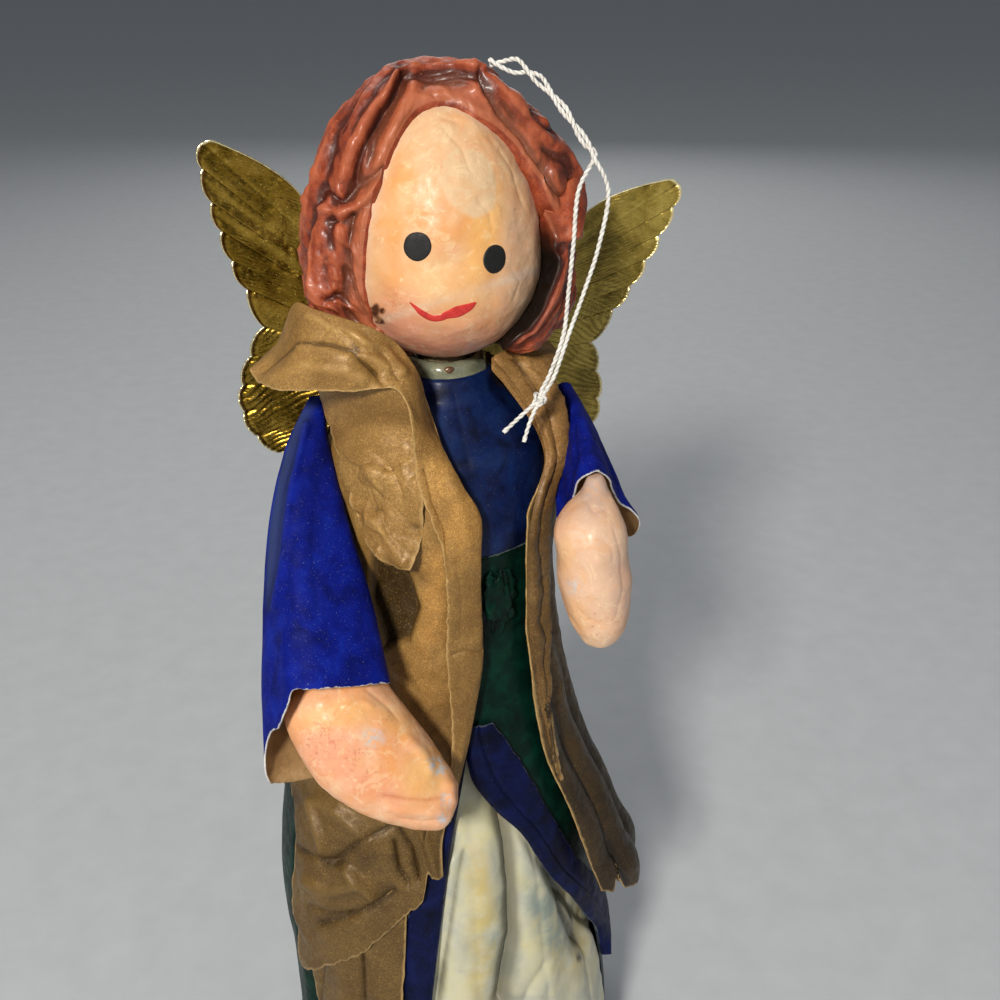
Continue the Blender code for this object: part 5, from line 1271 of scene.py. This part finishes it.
B, C, A = [], [], []
for zz in (131, 142, 152, 162, 172, 181, 188, 196, 205, 213):
    inward = min(0.0, float(curve(zz, SWING)))
    B.append(polar(curve(zz, COAT_EDGE_L) + 0.1, coat_r(zz) + lerp(-0.4, 0.7, float(step(131, 160, zz))) + 0.35 * inward, zz))
    C.append(polar(lerp(curve(zz, COAT_EDGE_L) + 0.8, curve(zz, LAPEL_L) - 5, float(step(131, 200, zz))), coat_r(zz) + lerp(0.5, 2.0, float(step(131, 165, zz))) + 0.55 * inward, zz))
    A.append(polar(curve(zz, COAT_EDGE_L) + 4.0, coat_r(zz) + 0.2, zz))
for at, end, low in (((47, 28.9, 222), (60, 31.6, 223), 0.1), ((49, 26.4, 229), (64, 30.6, 230), 0.2), ((50, 22.8, 234.2), (64, 29.0, 236.5), 0.3),
                     ((42, 18.6, 241.5), (66, 27.0, 240.0), 0.3), ((34, 16.8, 246.0), (72, 26.5, 241.5), 0.3), ((60, 16.6, 245.6), (92, 28.0, 240.5), 0.3),
                     ((110, 17.5, 245), (118, 30.5, 240.5), 0.3), ((158, 19, 245), (158, 31, 240.5), 0.3)):
    p = polar(*at)
    B.append(p)
    C.append(polar(*end))
    A.append(p + V3(0, 0, -8) * low)
folded_strip("coat_left_collar_lapel", B, C, A, 460, 80, [0.3] * 10 + [0.4, 0.6, 0.8, 0.8, 0.6, 0.6, 0.6, 0.6], [
    ("crease", [(512, 352), (526, 380), (540, 404)], 2.5, -0.6), ("line", [(520, 350), (536, 378), (550, 400)], 4, 0.5),
], 8, 0.9, 32, ("coat_left_lapel", "coat_left_collar"), [GOLD_BROWN, GOLD_SHADED, TORN_GOLD], pleat=1.2, painted_shade=(226, 205, 0.8))

# loose front flap under the collar, its lower corner curled outwards
U, V = uv(120, 170)
left = along_rows([(318, 382), (328, 420), (337, 452), (348, 488), (357, 514), (364, 534)], 170)[:, None]
right = along_rows([(404, 382), (414, 425), (420, 465), (424, 500), (421, 540), (410, 571)], 170)[:, None]
px = lerp(left, right, U[..., None]) + np.array([-8.0, 9.0]) * (np.sin(np.pi * U) * V ** 5)[..., None]
px = px + np.stack([1.2 * noise1(V * 60, 5, 8), 1.6 * noise1(U * 30 + 7, 4, 6) * V ** 8], axis=-1)
lift = (1.2 + 0.9 * V + 3.2 * step(0.74, 1.0, V) ** 1.5) * (0.5 + 0.5 * step(0.0, 0.4, U))
top_r = curve(U, [(0, 31.5), (0.5, 30.0), (1, 28.4)])
P = on_round(px, lambda z: lerp(top_r, coat_r(z) + lift, step(0.0, 0.55, V)))
N = normals(P)
if np.sum(N * (P * np.array([1, 1, 0.0]))) < 0:
    N = -N
S = np.stack([U * 22, V * 46], axis=-1)
d = (1.3 * facets(S, 13, 4) + 0.7 * facets(S, 6.2, 9) + 0.25 * facets(S, 2.9, 14)) * step(0.1, 0.5, V) + carve(P, N, [
    ("crease", [(350, 470), (372, 462), (392, 470), (402, 492)], 6, -0.7), ("line", [(378, 520), (392, 545), (402, 562)], 6, 0.8),
    ("crease", [(366, 500), (382, 512), (390, 536)], 5, -0.9)])
att = {"dent": np.clip((d - blur(d, 17)) * 2.0 + 0.4 * d, -1.2, 1.2), "edge": edge_mm(P) + 3 * (V < 0.2)}
place(paper("coat_right_front_flap", P + N * d[..., None], COAT_MATS, 0.4, att), "doll", "coat_gold")


# ------------------------------------------------------------------ arms
def sleeve(name, top, low, half_w, half_t, shift, longer, nu, nv, ops, seed):
    along = unit(low - top)
    out = unit(V3(top[0] + low[0], top[1] + low[1], 0))
    out = unit(out - along * np.dot(out, along))
    side = np.cross(along, out)
    length = np.linalg.norm(low - top)
    u = np.linspace(0, 1, nu + 1)[:-1][None]
    v = np.linspace(0, 1, nv)[:, None]
    a = 2 * np.pi * u
    ragged = jag(u * 60 + 0 * v, seed, 0.5, 0.35) * v ** 8
    # the flap at the outer back hangs lower than the front of the hem
    back = (np.degrees(a) + 180) % 360 - 180
    flap = step(-42, 58, back) * step(174, 140, back)
    extra = longer * v ** 2 * flap - 2.6 * v ** 4 * (1 - flap) + ragged
    c = top + along * (length * v + extra)[..., None] + V3(1, 0, 0) * curve(v + 0 * u, shift)[..., None]
    box = lerp(1.0, 0.55, step(0.02, 0.4, v))
    ca, sa = np.sign(np.cos(a)) * np.abs(np.cos(a)) ** box, np.sign(np.sin(a)) * np.abs(np.sin(a)) ** box
    P = c + out * (curve(v, half_t) * ca)[..., None] + side * (curve(v, half_w) * sa)[..., None]
    axis = top + along * (length * v + 0 * u)[..., None]
    N = normals(P, True)
    if np.sum(N * (P - axis)) < 0:
        N = -N
    S = np.stack([u * 70 + 0 * v, v * length + 0 * u], axis=-1)
    d = 0.30 * crumple(S, 20, seed) * step(0.05, 0.3, v) - 0.15 + carve(P, N, ops)
    hem = (1 - v) * length + 0 * u
    P = P + N * d[..., None]
    # painted sheen: the sleeve's left facet is painted a greyer blue, standing in for a sheen of light on that side
    wear_and_sheen = 0.55 * facing(P, N) * inside(to_px(P), [(322, 392), (301, 430), (286, 487), (277, 560), (268, 606), (250, 612), (250, 540), (258, 480), (276, 430)], 7)
    return paper(name, P, [BLUE, KRAFT, TORN_BLUE], 0.42, {"dent": d * 0.9, "edge": hem + 0.05, "painted_sheen": wear_and_sheen}, wrap=True,
                 out=P - axis, side=-1.0)


obj = sleeve("right_sleeve_paper", SHOULDER_R, WRIST_R,
             [(0, 2.2), (0.18, 6.3), (0.48, 10.6), (0.76, 13.2), (1, 14.8)],
             [(0, 2.0), (0.18, 5.4), (0.48, 9.2), (0.76, 12.0), (1, 13.4)],
             [(0, 0), (0.18, -3.2), (0.42, -4.2), (0.7, -3.4), (1, -2.4)], 20, 240, 150,
             [("line", [(306, 425), (291, 487), (282, 560), (274, 606)], 4, 1.1),
              ("crease", [(292, 440), (276, 495), (270, 560), (262, 604)], 7, -1.3),
              ("line", [(290, 620), (284, 650), (290, 690)], 8, 0.6),
              ("crease", [(320, 470), (312, 540), (318, 610)], 14, -0.5)], 5)
place(obj, "right_arm", "sleeve_blue", "right_sleeve")

# left cuff: short in front, hanging lower behind the hand, one corner curled out;
# the rim as seen in the picture, each with how far forward it lies
CUFF_RIM = [(594, 472.2, -36.5), (605, 473.6, -36), (611.5, 480, -34.5), (613.5, 490, -32.5), (620, 503, -30.5), (630, 511, -29.5), (634, 524, -28),
            (628, 536, -26.5), (610, 532, -23.2), (585, 528, -22.2), (558, 523, -25), (565, 514, -28.5), (572.5, 496, -32.5), (577.5, 481, -35)]
CUFF_RIM = [on_plane((x, y), V3(0, d, 0), V3(0, 1, 0)) for x, y, d in CUFF_RIM]
nu, nv = 180, 110
rim = along_rows(CUFF_RIM[-2:] + CUFF_RIM + CUFF_RIM[:3], 18 * 60 + 1)[2 * 60:16 * 60]
cut = np.concatenate([[0], np.cumsum(np.linalg.norm(np.diff(np.concatenate([rim, rim[:1]]), axis=0), axis=1))])
rim = np.stack([np.interp(np.linspace(0, cut[-1], nu + 1)[:-1], cut, np.append(rim[:, k], rim[0, k])) for k in range(3)], axis=-1)
axis = unit(CUFF_L - SHOULDER_L)
spoke = rim - rim.mean(axis=0)
spoke = unit(spoke - axis * np.sum(spoke * axis, axis=1, keepdims=True))
v = np.linspace(0, 1, nv)[:, None]
P = lerp((SHOULDER_L + spoke * 2.2)[None], rim[None], v[..., None])
mid = lerp(SHOULDER_L, rim.mean(axis=0), v)
P = P + V3(1, 0, 0) * curve(v, [(0, 0), (0.3, 1.0), (0.6, 0.6), (1, 0)])[..., None] + (P - mid[:, None]) * (0.10 * np.sin(np.pi * v) ** 0.8)[..., None]
N = normals(P, True)
if np.sum(N * (P - mid[:, None])) < 0:
    N = -N
turn = np.linspace(0, 1, nu + 1)[:-1][None]
curl = np.exp(-((turn - 0.36) / 0.07) ** 2) * step(0.82, 1.0, v) ** 1.5 * 1.6
S = np.stack([turn * 60 + 0 * v, v * 40 + 0 * turn], axis=-1)
d = 0.35 * crumple(S, 13, 15) * step(0.05, 0.3, v) + curl + carve(P, N, [
    ("crease", [(574, 425), (576, 456), (564, 500), (556, 520)], 3, -0.9), ("line", [(584, 420), (590, 450), (596, 470)], 5, 0.5)])
place(paper("left_sleeve_paper", P + N * d[..., None], [BLUE, KRAFT, TORN_BLUE], 0.42,
            {"dent": np.clip(d * 0.9, -1, 0.5), "edge": (1 - v) * 38 + 0 * turn + 0.05}, wrap=True, out=P - mid[:, None], side=-1.0),
      "left_arm", "sleeve_blue", "left_sleeve")



def hand(name, wrist, tip, rows, ops, marks, seed, body, node):
    """A mitten lofted through rows: left and right outline as the picture shows them, and half its thickness."""
    along = unit(tip - wrist)
    toward = unit(CAM - (wrist + tip) / 2)
    n = unit(toward - along * np.dot(toward, along))
    x = (0.5 - 0.5 * np.cos(np.linspace(0, np.pi, 170)))
    fine = along_rows([(list(r) + [0])[:6] for r in rows], 1200)
    s = np.concatenate([[0], np.cumsum(np.linalg.norm(np.diff(fine[:, :4], axis=0), axis=1) + 1e-6)])
    fine = np.stack([np.interp(x * s[-1], s, fine[:, k]) for k in range(6)], axis=-1)
    L, R = on_plane(fine[:, None, 0:2], wrist, n), on_plane(fine[:, None, 2:4], wrist, n)
    L, R = L + unit(L - CAM) * fine[:, None, 5:6], R + unit(R - CAM) * fine[:, None, 5:6]
    T = np.maximum(fine[:, None, 4:5], 0.0)
    a = np.linspace(0, 2 * np.pi, 181)[:-1][None]
    t = x[:, None]
    axis = (L + R) / 2 + 0 * a[..., None]
    P = axis + (R - L) / 2 * np.cos(a)[..., None] + n * (T * np.sin(a)[..., None])
    N = normals(P, True)
    if np.sum(N * (P - axis)) < 0:
        N = -N
    d = 0.28 * fbm(P, 8, 3, seed) + 0.10 * fbm(P, 2.8, 3, seed + 4) - 0.1
    d = d * step(0.0, 0.1, t) * step(1.0, 0.93, t)
    c = carve(P, N, ops)
    P = P + N * (d + c)[..., None]
    Q, F = to_px(P), facing(P, N)
    att = {"dent": np.clip(c * 1.1 + d * 0.5, -1.2, 1)}
    for key, spots in marks.items():
        att[key] = F * np.clip(sum(w * oval(Q, *o, 0.6) for w, o in spots), 0, 1)
    if np.sum(normals(P, True) * N) < 0:
        P, att = P[:, ::-1], {k: v[:, ::-1] for k, v in att.items()}
    return place(skin(name, np.ascontiguousarray(P), [SKIN_HAND], att, wrap=True), body, "skin_hands", node)


hand("right_hand_mitten", WRIST_R, TIP_R, [
    (338, 664, 338, 664, 0), (314, 670, 362, 664, 5), (297, 684, 381, 674, 7.5), (286, 700, 393, 690, 9), (284, 718, 404, 704, 9.6),
    (294, 745, 417, 720, 10), (311, 775, 430, 738, 9.8), (335, 799, 441, 755, 9.2), (365, 816, 450, 771, 8.2), (394, 825, 457, 788, 7),
    (420, 830, 456, 803, 5.2), (437, 830, 452, 814, 3.2), (447, 824, 447, 824, 0)], [
    ("crease", [(384, 797), (406, 800), (428, 801), (446, 797)], 3.0, -0.7),
    ("line", [(390, 808), (415, 811), (438, 812)], 6, 0.6),
    ("crease", [(400, 819), (420, 822), (440, 820)], 2.5, -0.35), ("line", [(410, 740), (424, 756), (430, 770)], 6, 0.7), ("line", [(448, 786), (452, 800)], 5, 0.7),
    ("line", [(444, 770), (452, 785)], 8, 0.6),
    ("line", [(345, 706), (362, 700), (372, 706)], 3, 0.3),
    ("crease", [(368, 690), (388, 706), (400, 720)], 2.5, -0.3),
], {"yellow": [(0.6, (340, 715, 40, 14, -10)), (0.7, (425, 775, 22, 30, 30)), (0.5, (400, 722, 20, 14, 30))],
    "scratch": [(1, (322, 735, 20, 26, 30)), (0.9, (352, 760, 8, 14, 20)), (0.8, (363, 782, 5, 5, 0)), (0.6, (392, 728, 12, 12, 0))],
    "wear_and_sheen": [(0.9, (438, 766, 7, 10, -40)), (0.7, (374, 738, 10, 8, 0)), (0.7, (446, 800, 5, 8, 0)), (0.8, (442, 818, 5, 6, 0))],
    "pink": [(0.45, (330, 750, 30, 30, 0)), (0.4, (380, 790, 40, 16, 20))],
    "freckle": [(0.5, (360, 750, 60, 50, 30))]}, 4, "right_hand", "right_hand")
hand("left_hand_mitten", WRIST_L, TIP_L, [
    (594, 475, 594, 475, 0, 6.5), (588, 477, 601, 475.5, 2.0, 6.5), (584.5, 483, 604.5, 481, 3.2, 6.2), (580, 492, 608, 490, 4.8, 5), (571, 502, 614, 501, 5.8, 2.4), (558, 515, 621, 514, 7.0, 0.8),
    (553, 531, 627, 531, 8.2), (555, 552, 629, 552, 8.8), (556.5, 576, 632, 576, 9.0), (562, 598, 631, 598, 8.6), (569, 617, 627, 619, 7.6), (578, 633, 620, 634, 5.6),
    (588, 641, 611, 641.5, 3.4), (600, 644.5, 600, 644.5, 0)], [
    ("crease", [(614, 530), (622, 556), (624, 590), (617, 616)], 3.0, -0.25),
    ("crease", [(586, 500), (594, 512), (606, 508)], 2.0, -0.3), ("line", [(594, 530), (598, 560)], 9, 0.3),
    ("crease", [(575, 606), (588, 620), (604, 626)], 3.0, -0.22), ("crease", [(604, 540), (612, 548), (614, 562)], 3.0, -0.2),
], {"yellow": [(0.35, (566, 555, 8, 20, 0)), (0.3, (578, 615, 10, 18, -20))],
    "pale": [(0.8, (595, 565, 50, 90, 0))],
    "pink": [(0.5, (618, 580, 12, 40, 0)), (0.25, (590, 530, 20, 20, 0))],
    "freckle": [(0.9, (600, 620, 24, 20, 0)), (0.4, (590, 570, 25, 30, 0))],
    "wear_and_sheen": [(0.5, (574, 586, 8, 8, 0))],
    "shade": [(0.9, (594, 484, 18, 14, 0)), (0.5, (592, 505, 14, 18, 0)), (0.25, (622, 590, 10, 40, 0))]}, 14, "left_hand", "left_hand")


# ------------------------------------------------------------------ wings
def wing_rim(n_lobe):
    pts, lobe, phase = [], [], []
    top, _ = spline([V3(x, y, 0) for x, y in WING_TOP], 90)
    for p in top[:-1]:
        pts.append(p[:2])
        lobe.append(-1)
        phase.append(0.5)
    for k, ((x0, y0), (x1, y1)) in enumerate(zip(WING_NOTCH, WING_NOTCH[1:])):
        n = unit(np.array([-(y1 - y0), x1 - x0]))
        for j in range(n_lobe):
            t = j / n_lobe
            b = WING_BULGE * (4 * t * (1 - t)) ** 0.8
            pts.append(np.array([lerp(x0, x1, t), lerp(y0, y1, t)]) + n * b)
            lobe.append(k)
            phase.append(t)
    last = WING_NOTCH[-1]
    for j in range(26):
        t = j / 25
        pts.append(np.array([lerp(last[0], WING_FOOT[0], t), lerp(last[1], WING_FOOT[1], t)]))
        lobe.append(99)
        phase.append(0.5)
    return np.array(pts), np.array(lobe), np.array(phase)


def wing(name, side, tilt, seed, body, node, foil):
    rim, lobe, phase = wing_rim(30)
    ca, sa = math.cos(math.radians(tilt)), math.sin(math.radians(tilt))
    rx = np.maximum(0.8, rim[:, 0] * ca - rim[:, 1] * sa)
    ry = rim[:, 0] * sa + rim[:, 1] * ca
    n = len(rim)
    v = (np.linspace(0, 1, 100) ** 0.85)[:, None]
    u = np.linspace(0, 1, n)[None]
    x = lerp(0.8, rx[None], v)
    y = lerp(lerp(6, -26, u), ry[None], v)
    flat = np.stack([x, y], axis=-1)
    # feathers: a raised quill per scallop, barbs slanting from it, a beaded rim
    rim_d = np.linalg.norm(flat - np.stack([rx, ry], axis=-1)[None], axis=-1)
    ph = phase[None] + 0 * v
    feather = (lobe[None] >= 0) & (lobe[None] < 90) & (v > 0)
    reachf = step(0.30, 0.62, v)
    near = np.exp(-rim_d / 9.0)
    low = step(8, -6, y)
    h = np.where(feather, (0.12 + 0.35 * np.sin(np.pi * ph) ** 0.7) * reachf * near, 0.2)
    h = h - np.where(feather, 0.28 * np.exp(-((np.minimum(ph, 1 - ph)) / 0.07) ** 2) * reachf * near, 0)
    barb = np.sin(2 * np.pi * (y * 0.60 + 0.24 * x + 1.3 * fbm(flat, 9, 2, seed)))
    barb2 = np.sin(2 * np.pi * (y * 1.25 - 0.40 * x + 1.0 * fbm(flat, 6, 2, seed + 3)))
    h = h + (0.05 + 0.13 * low) * barb * step(0.12, 0.35, v) * (0.6 + 0.6 * fbm(flat, 7, 2, seed + 9)) + 0.035 * barb2
    # quill from the root to the tip
    quill, _ = line_dist(flat, [(6, 4), (22, 13), (38, 25), (48, 33), (54, 39)])
    h = h + 0.28 * np.exp(-(quill / 1.1) ** 2) - 0.16 * np.exp(-((quill - 2.4) / 1.0) ** 2)
    h = h + 0.40 * crumple(flat, 13, seed) + 0.2 * facets(flat, 3.6, seed + 2) * (0.35 + 0.65 * np.clip(fbm(flat, 10, 2, seed + 5) + 0.3, 0, 1))
    h = h + 0.3 * np.exp(-(rim_d / 0.5) ** 2) - 0.12 * np.exp(-((rim_d - 1.3) / 0.5) ** 2)
    camber = WING_CAMBER * np.sin(np.pi * x / WING_SPAN)
    P = np.stack([side * x, camber - h * 0.9, y], axis=-1)
    sw = math.radians(side * WING_SWEEP)
    X = P[..., 0] * math.cos(sw) - P[..., 1] * math.sin(sw) + WING_X + side * WING_HALF_TAB
    Y = P[..., 0] * math.sin(sw) + P[..., 1] * math.cos(sw) + WING_Y
    P = np.stack([X, Y, P[..., 2] + WING_Z], axis=-1)
    dent = np.clip((h - blur(h, 9)) * 3.2 + (h - 0.25) * 0.5, -1.2, 1.2)
    obj = paper(name, P, [foil, FOIL_BACK, foil], 0.25, {"dent": dent, "edge": rim_d}, out=np.broadcast_to(V3(0, -1, 0), P.shape))
    return place(obj, body, "wing_foil", node)


wing("right_wing_foil", -1, WING_TILT_R, 3, "right_wing", "right_wing", FOIL)
wing("left_wing_foil", 1, WING_TILT_L, 7, "left_wing", "left_wing", FOIL_LIT)
U, V = uv(40, 110)
x, zz = lerp(-WING_HALF_TAB + 0.5, WING_HALF_TAB - 0.5, U), lerp(-28, 12, V)
flat = np.stack([x, zz], axis=-1)
h = 0.25 * crumple(flat, 7, 4) + 0.14 * np.sin(2 * np.pi * (zz * 0.55 + 0.1 * x)) * step(7, 4, np.abs(x))
P = np.stack([WING_X + x, WING_Y + h * 0.7, WING_Z + zz + 0.5 * noise1(x, 3, 5) * (V > 0.98)], axis=-1)
place(paper("wing_tab_foil", P, [FOIL, FOIL_BACK, FOIL], 0.3, {"dent": h * 3}, out=np.broadcast_to(V3(0, 1, 0), P.shape)), "doll", "wing_foil", "wing_tab")

# the lump of glue under the foot of the tab
A, B = np.meshgrid(np.linspace(0, 2 * np.pi, 97)[:-1], np.linspace(-1.52, 1.52, 54))
D = np.stack([np.cos(B) * np.cos(A), np.cos(B) * np.sin(A), np.sin(B)], axis=-1)
k = 1 + 0.12 * fbm(D * 4, 2.4, 3, 8)
x, zz = WING_X + 5.6 * D[..., 0] * k, WING_Z - 23.4 + 4.2 * D[..., 2] * k
t = 0.5 + 0.5 * np.clip(1.4 * D[..., 1] * k, -1, 1)
y = lerp(np.sqrt((coat_r(zz) - 0.3) ** 2 - x ** 2), WING_Y - 0.1, t) + 0.10 * fbm(D * 4, 0.9, 2, 3) * np.cos(B)
P = np.stack([x, y, zz], axis=-1)
if np.sum(normals(P, True) * D) < 0:
    P = P[:, ::-1]
place(skin("wing_glue_lump", np.ascontiguousarray(P), [GLAZE], wrap=True), "doll", "neck_paint", "wing_glue_pad")

# ------------------------------------------------------------------ left arm wire, bent down into the wrist
neck = on_plane((594, 484), WRIST_L, unit(CAM - (WRIST_L + TIP_L) / 2))
neck = neck + unit(neck - CAM) * 6.5
path, _ = spline([SHOULDER_L + V3(0.1, -1.4, -0.4), V3(31.6, -12, 226), V3(29.6, -26, 222.6), lerp(neck, V3(29.4, -30, 222), 0.5), neck, neck + V3(0.1, -0.3, -1.0)], 120)
P, s = sweep(path, 14, lambda s, a: 0.8 + 0.02 * noise1(s, 3, 4) + 0 * a)
place(skin("left_arm_wire_bent", capped(P), [STEEL], wrap=True), "left_arm", "arm_wire", "left_arm_wire")

# ------------------------------------------------------------------ carried-over solids
for node, mat in (("core_shell", CARD), ("base_disc", CARD), ("neck_peg", CARD), ("right_arm_wire", STEEL)):
    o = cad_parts[node]
    o.data.materials.clear()
    o.data.materials.append(mat)

# ------------------------------------------------------------------ floor and light
FLOOR = Look("floor_pale", rough=0.7)
FLOOR.set("Base Color", FLOOR.ramp(FLOOR.noise(14, 3, 0.6), (0.3, srgb(186, 190, 193)), (0.7, srgb(192, 196, 199))))
n = 24
gx, gy = np.meshgrid(np.linspace(-12000, 12000, n), np.linspace(-12000, 12000, n))
floor = mesh_from("floor", np.stack([gx, gy, 0 * gx - 0.2], axis=-1).reshape(-1, 3), grid_faces(n, n), [FLOOR.mat])


def lamp(name, az, el, dist, size, watts, colour, target=(0, 0, 190)):
    a, e = math.radians(az), math.radians(el)
    d = V3(math.sin(a) * math.cos(e), -math.cos(a) * math.cos(e), math.sin(e))
    data = bpy.data.lights.new(name, 'AREA')
    data.shape, data.size, data.energy, data.color = 'DISK', size * MM, watts, colour
    o = bpy.data.objects.new(name, data)
    o.location = Vector((np.array(target) + d * dist) * MM)
    o.rotation_mode = 'QUATERNION'
    o.rotation_quaternion = Vector(-d).to_track_quat('-Z', 'Y')
    bpy.context.scene.collection.objects.link(o)


lamp("key", -28, 33, 1500, 225, 23.0, (1.0, 0.96, 0.89))
lamp("fill", 40, 30, 1400, 900, 1.2, (0.88, 0.93, 1.0))
lamp("top", -160, 60, 1300, 700, 3.2, (1.0, 0.98, 0.95))
lamp("back", 165, 24, 1600, 1200, 4.0, (1.0, 0.97, 0.93))
world = bpy.data.worlds.new("studio")
world.use_nodes = True
world.node_tree.nodes["Background"].inputs["Color"].default_value = (0.80, 0.85, 0.92, 1)
world.node_tree.nodes["Background"].inputs["Strength"].default_value = 0.17
bpy.context.scene.world = world
bpy.context.scene.view_settings.view_transform = 'Standard'
